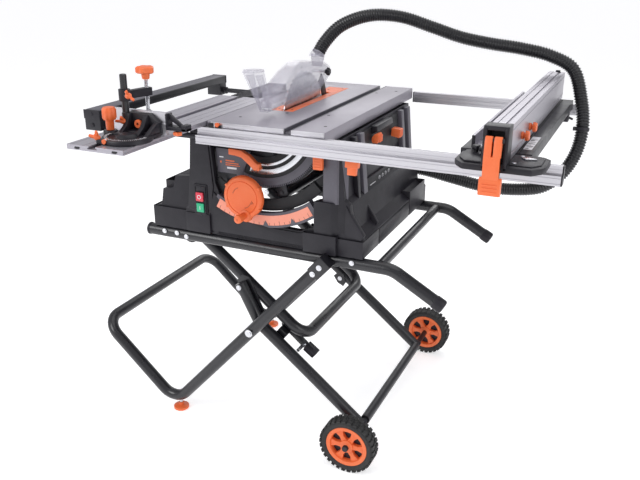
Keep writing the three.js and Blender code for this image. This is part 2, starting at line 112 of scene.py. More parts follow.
# A turned shape: profile of (radius, distance along the axis), closed at both ends on the axis.
def turnedShape(profile, place, direction=(0, 0, 1), steps=32):
    part = bmesh.new()
    rings = []
    for radius, along in profile:
        if radius < 1e-6:
            rings.append([part.verts.new((0, 0, along))])
            continue
        turns = [2 * math.pi * k / steps for k in range(steps)]
        rings.append([part.verts.new((radius * math.cos(a), radius * math.sin(a), along)) for a in turns])
    for lower, upper in zip(rings, rings[1:]):
        for k in range(steps):
            n = (k + 1) % steps
            corners = [lower[k % len(lower)], lower[n % len(lower)], upper[n % len(upper)], upper[k % len(upper)]]
            unique = list(dict.fromkeys(corners))
            if len(unique) > 2:
                part.faces.new(unique)
    for ring, first in ((rings[0], True), (rings[-1], False)):
        if len(ring) > 1:
            part.faces.new(ring[::-1] if first else ring)
    turn = Vector((0, 0, 1)).rotation_difference(Vector(direction)).to_matrix().to_4x4()
    bmesh.ops.transform(part, matrix=Matrix.Translation(Vector(place)) @ turn, verts=part.verts)
    return part


# A ring turned about an axis: the profile is a closed loop that does not touch the axis.
def hoopShape(profile, place, direction=(0, 1, 0), steps=48):
    part = bmesh.new()
    turn = Vector((0, 0, 1)).rotation_difference(Vector(direction)).to_matrix().to_4x4()
    rows = []
    for k in range(steps):
        a = 2 * math.pi * k / steps
        rows.append([part.verts.new((r * math.cos(a), r * math.sin(a), h)) for r, h in profile])
    count = len(profile)
    for k in range(steps):
        this, following = rows[k], rows[(k + 1) % steps]
        for i in range(count):
            j = (i + 1) % count
            part.faces.new((this[i], following[i], following[j], this[j]))
    bmesh.ops.transform(part, matrix=Matrix.Translation(Vector(place)) @ turn, verts=part.verts)
    return part


# A handgrip outline with lobes, drawn out along an axis.
def lobedShape(place, direction, radius, height, lobes, depth, steps=48):
    part = bmesh.new()
    levels = [(0.82, 0), (1, 0.18), (1, 0.8), (0.8, 1)]
    rings = []
    for scale, level in levels:
        ring = []
        for k in range(steps):
            a = 2 * math.pi * k / steps
            r = scale * (radius - depth * (0.5 - 0.5 * math.cos(lobes * a)))
            ring.append(part.verts.new((r * math.cos(a), r * math.sin(a), height * level)))
        rings.append(ring)
    for lower, upper in zip(rings, rings[1:]):
        for k in range(steps):
            n = (k + 1) % steps
            part.faces.new((lower[k], lower[n], upper[n], upper[k]))
    part.faces.new(rings[0][::-1])
    part.faces.new(rings[-1])
    turn = Vector((0, 0, 1)).rotation_difference(Vector(direction)).to_matrix().to_4x4()
    bmesh.ops.transform(part, matrix=Matrix.Translation(Vector(place)) @ turn, verts=part.verts)
    return part


def bentLine(corners, bend, steps=10):
    points = [Vector(c) for c in corners]
    line = [points[0]]
    for before, corner, after in zip(points, points[1:], points[2:]):
        inward = (corner - before).normalized()
        outward = (after - corner).normalized()
        turn = inward.angle(outward)
        start = corner - inward * bend * math.tan(turn / 2)
        side = (outward - inward * outward.dot(inward)).normalized()
        centre = start + side * bend
        for k in range(steps + 1):
            a = turn * k / steps
            line.append(centre + inward * bend * math.sin(a) - side * bend * math.cos(a))
    line.append(points[-1])
    return line


# A round bar along a line, with a small round at both cut ends.
def tubeShape(line, radius, sides=24, nose=1.5):
    part = bmesh.new()
    points = [Vector(p) for p in line]
    heads = [(points[1] - points[0]).normalized()]
    for a, b, c in zip(points, points[1:], points[2:]):
        heads.append(((b - a).normalized() + (c - b).normalized()).normalized())
    heads.append((points[-1] - points[-2]).normalized())
    side = heads[0].orthogonal().normalized()
    stations = [(points[0], heads[0], radius - nose), (points[0] + heads[0] * nose, heads[0], radius)]
    stations += [(p, h, radius) for p, h in zip(points[1:-1], heads[1:-1])]
    stations += [(points[-1] - heads[-1] * nose, heads[-1], radius), (points[-1], heads[-1], radius - nose)]
    rings = []
    for place, head, r in stations:
        side = (side - head * side.dot(head)).normalized()
        up = head.cross(side)
        turns = [2 * math.pi * k / sides for k in range(sides)]
        rings.append([part.verts.new(place + side * r * math.cos(a) + up * r * math.sin(a)) for a in turns])
    for lower, upper in zip(rings, rings[1:]):
        for k in range(sides):
            n = (k + 1) % sides
            part.faces.new((lower[k], lower[n], upper[n], upper[k]))
    part.faces.new(rings[0][::-1])
    part.faces.new(rings[-1])
    return part


def barShape(a, b, radius, sides=20, nose=0.8):
    return tubeShape([a, (Vector(a) + Vector(b)) / 2, b], radius, sides, nose)


# A box whose top is sunk inside a rim, as a moulded tray.
def trayShape(x, y, z, rim, depth, ease=2.5):
    part = blockShape(x, y, z)
    part.faces.ensure_lookup_table()
    part.normal_update()
    lid = max(part.faces, key=lambda f: f.normal.z)
    bmesh.ops.inset_region(part, faces=[lid], thickness=rim, depth=0)
    bmesh.ops.translate(part, verts=lid.verts, vec=(0, 0, -depth))
    easeEdges(part, ease)
    return part


class Stock:
    # Gathers closed shapes, in drawing millimetres, into one mesh with several finishes.
    def __init__(self):
        self.shapes = bmesh.new()

    def take(self, part, finish=0, ease=0.0):
        if ease:
            easeEdges(part, ease)
        bmesh.ops.recalc_face_normals(part, faces=part.faces[:])
        for face in part.faces:
            face.material_index = finish
        carrier = bpy.data.meshes.new("carrier")
        part.to_mesh(carrier)
        part.free()
        self.shapes.from_mesh(carrier)
        bpy.data.meshes.remove(carrier)

    def takeMesh(self, mesh, finish=0, matrix=None):
        part = bmesh.new()
        part.from_mesh(mesh)
        if matrix:
            bmesh.ops.transform(part, matrix=matrix, verts=part.verts)
        self.take(part, finish)
        bpy.data.meshes.remove(mesh)

    def piece(self, name, body, finishes, replaced=(), sharp=38):
        mesh = bpy.data.meshes.new(name)
        self.shapes.to_mesh(mesh)
        self.shapes.free()
        mesh.transform(toFrame)
        for finish in finishes:
            mesh.materials.append(finish)
        return settle(name, mesh, body, replaced, sharp)


def settle(name, mesh, body, replaced=(), sharp=38):
    mesh.shade_smooth()
    mesh.set_sharp_from_angle(angle=math.radians(sharp))
    obj = bpy.data.objects.new(name, mesh)
    scene.collection.objects.link(obj)
    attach(obj, body)
    if replaced:
        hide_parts(*replaced)
    return obj


# A CAD node's own shape, merged and with its edges eased, so that it catches the light.
def eased(node, body, finish, ease=0.8, sharp=38):
    part = bmesh.new()
    part.from_mesh(frame["nodes"][node].data)
    bmesh.ops.transform(part, matrix=toDrawing, verts=part.verts)
    bmesh.ops.remove_doubles(part, verts=part.verts, dist=0.02)
    bmesh.ops.dissolve_limit(part, angle_limit=math.radians(1.5), verts=part.verts, edges=part.edges)
    stock = Stock()
    stock.take(part, 0, ease)
    return stock.piece(node + "_shape", body, [finish], [node], sharp)


# Geometry-node trees for what repeats.

def newTree(name, inputs):
    tree = bpy.data.node_groups.new(name, "GeometryNodeTree")
    tree.interface.new_socket(name="Geometry", in_out="INPUT", socket_type="NodeSocketGeometry")
    for label, kind in inputs:
        tree.interface.new_socket(name=label, in_out="INPUT", socket_type="NodeSocket" + kind)
    tree.interface.new_socket(name="Geometry", in_out="OUTPUT", socket_type="NodeSocketGeometry")
    return tree, tree.nodes.new("NodeGroupInput"), tree.nodes.new("NodeGroupOutput")


def addNode(tree, kind, links=None, **settings):
    node = tree.nodes.new(kind)
    for key, value in settings.items():
        setattr(node, key, value)
    for socket, source in (links or {}).items():
        if isinstance(source, bpy.types.NodeSocket):
            tree.links.new(source, node.inputs[socket])
        else:
            node.inputs[socket].default_value = source
    return node


def mathOut(tree, operation, a, b=0.0):
    return addNode(tree, "ShaderNodeMath", {0: a, 1: b}, operation=operation).outputs[0]


def closeTree(tree, geometry, enter, leave):
    real = addNode(tree, "GeometryNodeRealizeInstances", {0: geometry})
    dressed = addNode(tree, "GeometryNodeSetMaterial", {"Geometry": real.outputs[0],
                                                        "Material": enter.outputs["Finish"]})
    tree.links.new(dressed.outputs[0], leave.inputs[0])


# Blocks set out at even steps round an arc about the y axis.
def makeArcTree():
    tree, enter, leave = newTree("blocks on an arc", [
        ("Count", "Int"), ("Radius", "Float"), ("Start", "Float"), ("Step", "Float"), ("Block", "Vector"),
        ("Lean", "Float"), ("Finish", "Material")])
    count, radius, start, step, block, lean = [enter.outputs[i] for i in range(1, 7)]
    line = addNode(tree, "GeometryNodeMeshLine", {"Count": count})
    index = addNode(tree, "GeometryNodeInputIndex").outputs[0]
    angle = mathOut(tree, "ADD", start, mathOut(tree, "MULTIPLY", index, step))
    across = mathOut(tree, "MULTIPLY", radius, mathOut(tree, "COSINE", angle))
    upward = mathOut(tree, "MULTIPLY", radius, mathOut(tree, "SINE", angle))
    place = addNode(tree, "ShaderNodeCombineXYZ", {"X": across, "Z": upward}).outputs[0]
    points = addNode(tree, "GeometryNodeSetPosition", {"Geometry": line.outputs[0], "Position": place})
    turn = mathOut(tree, "SUBTRACT", lean, angle)
    euler = addNode(tree, "ShaderNodeCombineXYZ", {"Y": turn}).outputs[0]
    cube = addNode(tree, "GeometryNodeMeshCube", {"Size": block})
    placed = addNode(tree, "GeometryNodeInstanceOnPoints",
                     {"Points": points.outputs[0], "Instance": cube.outputs[0], "Rotation": euler})
    closeTree(tree, placed.outputs[0], enter, leave)
    return tree


# Blocks set out in a straight row.
def makeRowTree():
    tree, enter, leave = newTree("blocks in a row", [
        ("Count", "Int"), ("First", "Vector"), ("Pitch", "Vector"), ("Block", "Vector"), ("Turn", "Vector"),
        ("Finish", "Material")])
    count, first, pitch, block, turn = [enter.outputs[i] for i in range(1, 6)]
    line = addNode(tree, "GeometryNodeMeshLine", {"Count": count, "Start Location": first, "Offset": pitch})
    cube = addNode(tree, "GeometryNodeMeshCube", {"Size": block})
    placed = addNode(tree, "GeometryNodeInstanceOnPoints",
                     {"Points": line.outputs[0], "Instance": cube.outputs[0], "Rotation": turn})
    closeTree(tree, placed.outputs[0], enter, leave)
    return tree


# Hexagon bolt heads on washers, one on each point of the seed mesh, along its stored direction.
def makeBoltTree():
    tree, enter, leave = newTree("bolt heads", [
        ("Head Radius", "Float"), ("Head Height", "Float"), ("Sides", "Int"), ("Finish", "Material")])
    radius, height, sides = [enter.outputs[i] for i in range(1, 4)]
    facing = addNode(tree, "GeometryNodeInputNamedAttribute", {"Name": "facing"}, data_type="FLOAT_VECTOR")
    turn = addNode(tree, "FunctionNodeAlignRotationToVector", {"Vector": facing.outputs[0]}, axis="Z")
    head = addNode(tree, "GeometryNodeMeshCylinder", {"Vertices": sides, "Radius": radius, "Depth": height})
    washer = addNode(tree, "GeometryNodeMeshCylinder", {
        "Vertices": 20, "Radius": mathOut(tree, "MULTIPLY", radius, 1.35),
        "Depth": mathOut(tree, "MULTIPLY", height, 0.5)})
    both = addNode(tree, "GeometryNodeJoinGeometry")
    tree.links.new(head.outputs[0], both.inputs[0])
    tree.links.new(washer.outputs[0], both.inputs[0])
    placed = addNode(tree, "GeometryNodeInstanceOnPoints",
                     {"Points": enter.outputs[0], "Instance": both.outputs[0], "Rotation": turn.outputs[0]})
    closeTree(tree, placed.outputs[0], enter, leave)
    return tree


# A corrugated hose: the seed is its centre line, and the rings follow one another at the pitch.
def makeHoseTree():
    tree, enter, leave = newTree("corrugated hose", [
        ("Pitch", "Float"), ("Crest", "Float"), ("Root", "Float"), ("Sides", "Int"), ("Finish", "Material")])
    pitch, crest, root, sides = [enter.outputs[i] for i in range(1, 5)]
    curve = addNode(tree, "GeometryNodeMeshToCurve", {0: enter.outputs[0]})
    even = addNode(tree, "GeometryNodeResampleCurve", {"Curve": curve.outputs[0]}, mode="LENGTH")
    tree.links.new(mathOut(tree, "DIVIDE", pitch, 6.0), even.inputs["Length"])
    index = addNode(tree, "GeometryNodeInputIndex").outputs[0]
    wave = mathOut(tree, "COSINE", mathOut(tree, "MULTIPLY", index, math.pi / 3))
    level = mathOut(tree, "ADD", 0.5, mathOut(tree, "MULTIPLY", wave, 0.62))
    level = addNode(tree, "ShaderNodeClamp", {"Value": level}).outputs[0]
    ratio = mathOut(tree, "DIVIDE", root, crest)
    size = mathOut(tree, "ADD", ratio, mathOut(tree, "MULTIPLY", level, mathOut(tree, "SUBTRACT", 1.0, ratio)))
    waved = addNode(tree, "GeometryNodeSetCurveRadius", {"Curve": even.outputs[0], "Radius": size})
    ring = addNode(tree, "GeometryNodeCurvePrimitiveCircle", {"Resolution": sides, "Radius": crest})
    skin = addNode(tree, "GeometryNodeCurveToMesh",
                   {"Curve": waved.outputs[0], "Profile Curve": ring.outputs[0], "Fill Caps": True})
    if "Scale" in skin.inputs:
        tree.links.new(size, skin.inputs["Scale"])
    closeTree(tree, skin.outputs[0], enter, leave)
    return tree


def grow(tree, settings, seed=None):
    carrier = bpy.data.objects.new("carrier", seed or bpy.data.meshes.new("seed"))
    scene.collection.objects.link(carrier)
    modifier = carrier.modifiers.new("grow", "NODES")
    modifier.node_group = tree
    sockets = {s.name: s.identifier
               for s in tree.interface.items_tree if s.item_type == "SOCKET" and s.in_out == "INPUT"}
    for label, value in settings.items():
        modifier[sockets[label]] = value
    graph = bpy.context.evaluated_depsgraph_get()
    mesh = bpy.data.meshes.new_from_object(carrier.evaluated_get(graph), depsgraph=graph)
    carrier.modifiers.remove(modifier)
    bpy.data.objects.remove(carrier)
    return mesh


arcTree = makeArcTree()
rowTree = makeRowTree()
boltTree = makeBoltTree()
hoseTree = makeHoseTree()


def arcBlocks(count, radius, start, step, block, finish, lean=0.0):
    return grow(arcTree, {"Count": count, "Radius": radius, "Start": math.radians(start),
                          "Step": math.radians(step), "Block": block, "Lean": lean, "Finish": finish})


def rowBlocks(count, first, pitch, block, finish, turn=(0, 0, 0)):
    return grow(rowTree, {"Count": count, "First": first, "Pitch": pitch, "Block": block, "Turn": turn,
                          "Finish": finish})


def boltHeads(spots, finish, radius=6.5, height=6.0, sides=6):
    seed = bpy.data.meshes.new("bolt spots")
    seed.from_pydata([s[0] for s in spots], [], [])
    facing = seed.attributes.new("facing", "FLOAT_VECTOR", "POINT")
    facing.data.foreach_set("vector", [c for s in spots for c in s[1]])
    return grow(boltTree, {"Head Radius": radius, "Head Height": height, "Sides": sides, "Finish": finish}, seed)

print("tools ready")


# Finishes.

def newGroup(name, inputs, outputs):
    group = bpy.data.node_groups.new(name, "ShaderNodeTree")
    for label, kind, value in inputs:
        socket = group.interface.new_socket(name=label, in_out="INPUT", socket_type="NodeSocket" + kind)
        if value is not None:
            socket.default_value = value
    for label, kind in outputs:
        group.interface.new_socket(name=label, in_out="OUTPUT", socket_type="NodeSocket" + kind)
    return group, group.nodes.new("NodeGroupInput"), group.nodes.new("NodeGroupOutput")


# Slow colour drift over a surface, with rubbed edges and a little settled dust.
def makeToneGroup():
    group, enter, leave = newGroup("handled surface", [
        ("Coordinates", "Vector", None), ("Base", "Color", (0.1, 0.1, 0.1, 1)), ("Rubbed", "Color", (0.3, 0.3, 0.3, 1)),
        ("Drift Scale", "Float", 12.0), ("Drift", "Float", 0.3), ("Edge", "Float", 0.5)],
        [("Color", "Color"), ("Rub", "Float")])
    drift = addNode(group, "ShaderNodeTexNoise", {
        "Vector": enter.outputs["Coordinates"], "Scale": enter.outputs["Drift Scale"], "Detail": 6.0,
        "Roughness": 0.62})
    spread = addNode(group, "ShaderNodeMapRange", {"Value": drift.outputs[0], 1: 0.38, 2: 0.66, 3: 0.0, 4: 1.0})
    cloud = mathOut(group, "MULTIPLY", spread.outputs[0], enter.outputs["Drift"])
    shape = addNode(group, "ShaderNodeNewGeometry")
    ridge = addNode(group, "ShaderNodeMapRange", {"Value": shape.outputs["Pointiness"], 1: 0.51, 2: 0.6, 3: 0.0,
                                                  4: 1.0})
    nicks = addNode(group, "ShaderNodeTexNoise", {"Vector": enter.outputs["Coordinates"], "Scale": 260.0,
                                                  "Detail": 3.0})
    broken = mathOut(group, "MULTIPLY", ridge.outputs[0], nicks.outputs[0])
    rubbed = mathOut(group, "MULTIPLY", broken, enter.outputs["Edge"])
    total = mathOut(group, "ADD", cloud, rubbed)
    capped = addNode(group, "ShaderNodeClamp", {"Value": total}).outputs[0]
    mixed = addNode(group, "ShaderNodeMix", {0: capped}, data_type="RGBA")
    group.links.new(enter.outputs["Base"], mixed.inputs[6])
    group.links.new(enter.outputs["Rubbed"], mixed.inputs[7])
    group.links.new(mixed.outputs[2], leave.inputs["Color"])
    group.links.new(capped, leave.inputs["Rub"])
    return group


# Fine relief: moulded grain, powder coat or drawn lines, by how the coordinates are stretched.
def makeGrainGroup():
    group, enter, leave = newGroup("fine relief", [
        ("Coordinates", "Vector", None), ("Stretch", "Vector", (1, 1, 1)), ("Scale", "Float", 600.0),
        ("Rough Low", "Float", 0.35), ("Rough High", "Float", 0.5)], [("Height", "Float"), ("Roughness", "Float")])
    stretched = addNode(group, "ShaderNodeVectorMath", {0: enter.outputs["Coordinates"], 1: enter.outputs["Stretch"]},
                        operation="MULTIPLY")
    fine = addNode(group, "ShaderNodeTexNoise", {
        "Vector": stretched.outputs[0], "Scale": enter.outputs["Scale"], "Detail": 4.0, "Roughness": 0.6})
    wide = addNode(group, "ShaderNodeTexNoise", {"Vector": enter.outputs["Coordinates"], "Scale": 30.0, "Detail": 5.0})
    blend = mathOut(group, "MULTIPLY_ADD", fine.outputs[0], 0.55)
    blend.node.inputs[2].default_value = 0.0
    both = mathOut(group, "ADD", blend, mathOut(group, "MULTIPLY", wide.outputs[0], 0.45))
    rough = addNode(group, "ShaderNodeMapRange", {
        "Value": both, 1: 0.35, 2: 0.65, 3: enter.outputs["Rough Low"], 4: enter.outputs["Rough High"]})
    group.links.new(fine.outputs[0], leave.inputs["Height"])
    group.links.new(rough.outputs[0], leave.inputs["Roughness"])
    return group


toneGroup = makeToneGroup()
grainGroup = makeGrainGroup()


def makeFinish(name, base, rubbed, rough, metallic=0.0, grain=700.0, stretch=(1, 1, 1), relief=0.12, depth=0.0004,
               drift=0.3, driftScale=14.0, edge=0.5, coat=0.0, specular=0.5):
    material = bpy.data.materials.new(name)
    material.use_nodes = True
    tree = material.node_tree
    shader = tree.nodes["Principled BSDF"]
    coords = tree.nodes.new("ShaderNodeTexCoord").outputs["Object"]
    tone = addNode(tree, "ShaderNodeGroup", node_tree=toneGroup)
    fine = addNode(tree, "ShaderNodeGroup", node_tree=grainGroup)
    for node in (tone, fine):
        tree.links.new(coords, node.inputs["Coordinates"])
    tone.inputs["Base"].default_value = (*base, 1)
    tone.inputs["Rubbed"].default_value = (*rubbed, 1)
    tone.inputs["Drift Scale"].default_value = driftScale
    tone.inputs["Drift"].default_value = drift
    tone.inputs["Edge"].default_value = edge
    fine.inputs["Stretch"].default_value = stretch
    fine.inputs["Scale"].default_value = grain
    fine.inputs["Rough Low"].default_value = rough[0]
    fine.inputs["Rough High"].default_value = rough[1]
    bump = addNode(tree, "ShaderNodeBump", {"Height": fine.outputs["Height"], "Strength": relief, "Distance": depth})
    tree.links.new(tone.outputs["Color"], shader.inputs["Base Color"])
    tree.links.new(fine.outputs["Roughness"], shader.inputs["Roughness"])
    tree.links.new(bump.outputs[0], shader.inputs["Normal"])
    shader.inputs["Metallic"].default_value = metallic
    shader.inputs["Coat Weight"].default_value = coat
    shader.inputs["Specular IOR Level"].default_value = specular
    return material


moulding = makeFinish("black moulding", (0.0105, 0.0095, 0.0135), (0.032, 0.03, 0.038), (0.34, 0.48), grain=900,
                      relief=0.22, drift=0.35, specular=0.32)
coatedTube = makeFinish("black powder coat", (0.009, 0.009, 0.012), (0.03, 0.03, 0.035), (0.24, 0.38), grain=420,
                        relief=0.16, drift=0.25, coat=0.15)
blackMetal = makeFinish("black painted metal", (0.012, 0.012, 0.016), (0.036, 0.036, 0.042), (0.3, 0.44), metallic=0.3,
                        grain=520, drift=0.3)
satinSlate = makeFinish("slate moulding", (0.075, 0.07, 0.088), (0.13, 0.125, 0.15), (0.34, 0.5), grain=800, drift=0.3)
tableGrey = makeFinish("grey cast table", (0.31, 0.292, 0.335), (0.37, 0.352, 0.40), (0.36, 0.44), metallic=0.3,
                       grain=520, relief=0.05, drift=0.12, driftScale=6.0)
alongX = makeFinish("drawn aluminium along x", (0.56, 0.55, 0.585), (0.66, 0.65, 0.68), (0.3, 0.38), metallic=0.8,
                    grain=650, stretch=(0.03, 1, 1), relief=0.04, drift=0.06)
alongY = makeFinish("drawn aluminium along y", (0.40, 0.385, 0.43), (0.50, 0.485, 0.53), (0.32, 0.4), metallic=0.7,
                    grain=650, stretch=(1, 0.03, 1), relief=0.04, drift=0.06)
brightSteel = makeFinish("bright steel", (0.58, 0.59, 0.62), (0.75, 0.75, 0.78), (0.18, 0.34), metallic=1.0, grain=900,
                         relief=0.08)
orangeGrip = makeFinish("orange moulding", (0.78, 0.13, 0.028), (0.86, 0.22, 0.08), (0.33, 0.5), grain=850,
                        relief=0.2, drift=0.3, edge=0.6)
scalePeach = makeFinish("scale backing", (0.80, 0.26, 0.17), (0.88, 0.38, 0.28), (0.3, 0.45), grain=500, drift=0.3)
whiteMark = makeFinish("white print", (0.80, 0.80, 0.83), (0.66, 0.66, 0.70), (0.35, 0.5), grain=500)
treadRubber = makeFinish("tread rubber", (0.012, 0.012, 0.013), (0.04, 0.039, 0.038), (0.6, 0.8), grain=1200,
                         relief=0.3, drift=0.5)
hosePlastic = makeFinish("hose plastic", (0.005, 0.005, 0.007), (0.018, 0.018, 0.022), (0.2, 0.34), grain=700,
                         relief=0.1, drift=0.3)
# Near-black, for dark print and labels and mostly for painted shade: laid into recesses, holes, slots, vents and gaps
# where the real part only shows shadow.
darkPrintAndShade = makeFinish("dark print and painted shade", (0.006, 0.006, 0.008), (0.014, 0.014, 0.018), (0.55, 0.7), grain=700)
redCap = makeFinish("red cap", (0.62, 0.02, 0.05), (0.78, 0.12, 0.16), (0.22, 0.36), grain=900, relief=0.08)
greenCap = makeFinish("green cap", (0.01, 0.36, 0.16), (0.05, 0.5, 0.28), (0.22, 0.36), grain=900, relief=0.08)


# Clear guard plastic: a glossy, slightly milky shell that lets the blade show through.
def makeClearShell():
    material = makeFinish("clear shell", (0.50, 0.48, 0.57), (0.70, 0.69, 0.77), (0.08, 0.16), grain=300, relief=0.03,
                          drift=0.2, driftScale=25.0, coat=0.5)
    tree = material.node_tree
    shader = tree.nodes["Principled BSDF"]
    tone = [n for n in tree.nodes if n.type == "GROUP" and n.node_tree == toneGroup][0]
    veil = addNode(tree, "ShaderNodeMapRange", {"Value": tone.outputs["Rub"], 1: 0.0, 2: 1.0, 3: 0.22, 4: 0.5})
    tree.links.new(veil.outputs[0], shader.inputs["Alpha"])
    return material


clearShell = makeClearShell()

cadFinish = {
    "black_plastic": moulding, "black_paint": blackMetal, "grey_paint": tableGrey, "silver": alongX,
    "steel": brightSteel,
    "orange": orangeGrip, "rubber": treadRubber, "hose_black": hosePlastic, "clear": clearShell, "red": redCap,
    "green": greenCap,
}
for part in frame["record"]["subparts"]:
    shell = frame["nodes"][part["node"]]
    shell.data.materials.clear()
    shell.data.materials.append(cadFinish[part["material_slot"]])
print("finishes ready")


# Camera, floor and light.

def placeCamera():
    view = {"place": (0.7954, -1.74175, 1.275), "heading": 24.288, "down": 21.153, "roll": 0.108, "lens": 42.93}
    a, e, r = (math.radians(view[k]) for k in ("heading", "down", "roll"))
    ahead = Vector((-math.sin(a) * math.cos(e), math.cos(a) * math.cos(e), -math.sin(e)))
    level = Vector((math.cos(a), math.sin(a), 0))
    upright = level.cross(ahead)
    right = level * math.cos(r) + upright * math.sin(r)
    up = upright * math.cos(r) - level * math.sin(r)
    camera = bpy.data.objects.new("viewpoint", bpy.data.cameras.new("viewpoint"))
    camera.data.lens = view["lens"]
    camera.data.sensor_width = 36
    camera.data.clip_end = 60
    turn = Matrix((right, up, -ahead)).transposed().to_4x4()
    camera.matrix_world = Matrix.Translation(view["place"]) @ turn
    scene.collection.objects.link(camera)
    scene.camera = camera


def areaLight(name, place, target, size, power, colour=(1, 1, 1)):
    lamp = bpy.data.lights.new(name, "AREA")
    lamp.shape = "RECTANGLE"
    lamp.size, lamp.size_y = size
    lamp.energy = power
    lamp.color = colour
    obj = bpy.data.objects.new(name, lamp)
    aim = (Vector(target) - Vector(place)).to_track_quat("-Z", "Y")
    obj.matrix_world = Matrix.Translation(place) @ aim.to_matrix().to_4x4()
    scene.collection.objects.link(obj)


def makeStudio():
    half = 60.0
    floorMesh = bpy.data.meshes.new("studioFloor")
    floorMesh.from_pydata([(-half, -half, -0.0005), (half, -half, -0.0005), (half, half, -0.0005),
                           (-half, half, -0.0005)],
                          [], [(0, 1, 2, 3)])
    floorMesh.materials.append(makeFinish("studio floor", (0.86, 0.86, 0.87), (0.9, 0.9, 0.9), (0.7, 0.9), grain=40,
                                          relief=0.0, drift=0.0, driftScale=1.0, specular=0.05))
    glow = floorMesh.materials[0].node_tree.nodes["Principled BSDF"]
    glow.inputs["Emission Color"].default_value = (1.0, 1.0, 1.0, 1)
    glow.inputs["Emission Strength"].default_value = 0.5
    floor = bpy.data.objects.new("studioFloor", floorMesh)
    scene.collection.objects.link(floor)
    world = bpy.data.worlds.new("studio")
    world.use_nodes = True
    world.node_tree.nodes["Background"].inputs["Color"].default_value = (0.97, 0.97, 1.0, 1)
    world.node_tree.nodes["Background"].inputs["Strength"].default_value = 0.58
    backdrop = addNode(world.node_tree, "ShaderNodeBackground", {"Color": (1.0, 1.0, 1.0, 1), "Strength": 1.0})
    seen = addNode(world.node_tree, "ShaderNodeLightPath")
    choice = addNode(world.node_tree, "ShaderNodeMixShader")
    world.node_tree.links.new(seen.outputs["Is Camera Ray"], choice.inputs[0])
    world.node_tree.links.new(world.node_tree.nodes["Background"].outputs[0], choice.inputs[1])
    world.node_tree.links.new(backdrop.outputs[0], choice.inputs[2])
    world.node_tree.links.new(choice.outputs[0], world.node_tree.nodes["World Output"].inputs[0])
    scene.world = world
    areaLight("topLight", (0.1, 0.2, 3.2), (0, 0, 0.8), (2.6, 2.6), 26)
    areaLight("keyLight", (-1.9, -2.6, 2.3), (0, 0, 0.7), (1.8, 1.8), 52)
    areaLight("sideLight", (2.9, -0.8, 1.7), (0.1, 0, 0.7), (1.2, 1.8), 20)
    areaLight("backLight", (-0.6, 3.0, 2.2), (0, 0, 0.8), (2.4, 1.2), 18)
    scene.view_settings.view_transform = "Standard"


placeCamera()
makeStudio()
print("camera and studio ready")


# Dust hose.

hose = {"radius": 18.5, "root": 15.4, "pitch": 7.4, "sides": 20}
hoseRoute = [
    (262, 101, 994), (271, 122, 1020), (300, 168, 1062), (362, 232, 1088), (440, 275, 1084), (525, 298, 1058),
    (610, 310, 1032), (695, 314, 1018), (780, 315, 1009), (860, 318, 993), (920, 322, 962), (953, 308, 885),
    (967, 290, 815), (960, 278, 745), (930, 274, 682), (880, 274, 636), (800, 280, 616), (710, 290, 612),
    (620, 298, 622), (520, 300, 637), (430.3, 300, 640)]


def smoothRoute(route, perSpan=14):
    stops = [Vector(p) for p in route]
    stops = [2 * stops[0] - stops[1], *stops, 2 * stops[-1] - stops[-2]]
    line = []
    for p0, p1, p2, p3 in zip(stops, stops[1:], stops[2:], stops[3:]):
        d0, d1, d2 = ((b - a).length ** 0.5 for a, b in ((p0, p1), (p1, p2), (p2, p3)))
        leaving = ((p1 - p0) / d0 - (p2 - p0) / (d0 + d1) + (p2 - p1) / d1) * d1
        arriving = ((p2 - p1) / d1 - (p3 - p1) / (d1 + d2) + (p3 - p2) / d2) * d1
        for k in range(perSpan):
            t = k / perSpan
            line.append(p1 * (2 * t**3 - 3 * t**2 + 1) + leaving * (t**3 - 2 * t**2 + t)
                        + p2 * (3 * t**2 - 2 * t**3) + arriving * (t**3 - t**2))
    line.append(stops[-2])
    return line


def makeHose():
    line = smoothRoute(hoseRoute)
    seed = bpy.data.meshes.new("hose line")
    seed.from_pydata(line, [(i, i + 1) for i in range(len(line) - 1)], [])
    mesh = grow(hoseTree, {"Pitch": hose["pitch"], "Crest": hose["radius"], "Root": hose["root"],
                           "Sides": hose["sides"], "Finish": hosePlastic}, seed)
    mesh.transform(toFrame)
    obj = settle("dustHose", mesh, "saw_base", ["dust_hose"], 60)


makeHose()


# Stand.

standFit = {"rails": 252, "inner": 207, "wheelLegs": 242, "feet": 287}


def makeTopRails():
    for end, side in (("front", -1), ("rear", 1)):
        y = side * standFit["rails"]
        stock = Stock()
        stock.take(tubeShape(bentLine([(-91, y, 540), (620, y, 540), (751, y, 465)], 70), 16), 0)
        tip = Vector((751, y, 465))
        lean = Vector((131, 0, -75)).normalized()
        stock.take(turnedShape([(0, -26), (16.6, -26), (17.6, -22), (17.6, -3), (16, 0.5), (11, 2), (0, 2.4)], tip,
                               lean), 1)
        stock.take(turnedShape([(0, -8), (16.6, -8), (17.2, -6), (17.2, -2), (14, 1), (0, 1.4)], (-91, y, 540),
                               (-1, 0, 0)), 1)
        for x in (40, 448):
            stock.take(slabShape("y", arcLine(x, 540, 24, 0, 360, 20)[:-1], (y - side * 2, y - side * 17.6)), 0, 0.8)
        spots = [((x, y + side * 17.5, 540), (0, side, 0)) for x in (40, 448)]
        spots += [((x, y + side * 17.0, 546), (0, side, 0)) for x in (-30, 10, 520)]
        stock.takeMesh(boltHeads(spots, brightSteel, 5.0, 5.0), 2)
        stock.piece(f"topRail_{end}", "saw_base", [coatedTube, moulding, brightSteel],
                    [f"top_rail_{end}"])
    for name, x in (("left", -60), ("right", 585)):
        stock = Stock()
        stock.take(barShape((x, -236, 540), (x, 236, 540), 13), 0)
        stock.piece(f"crossTube_{name}", "saw_base", [coatedTube], [f"cross_tube_{name}"])


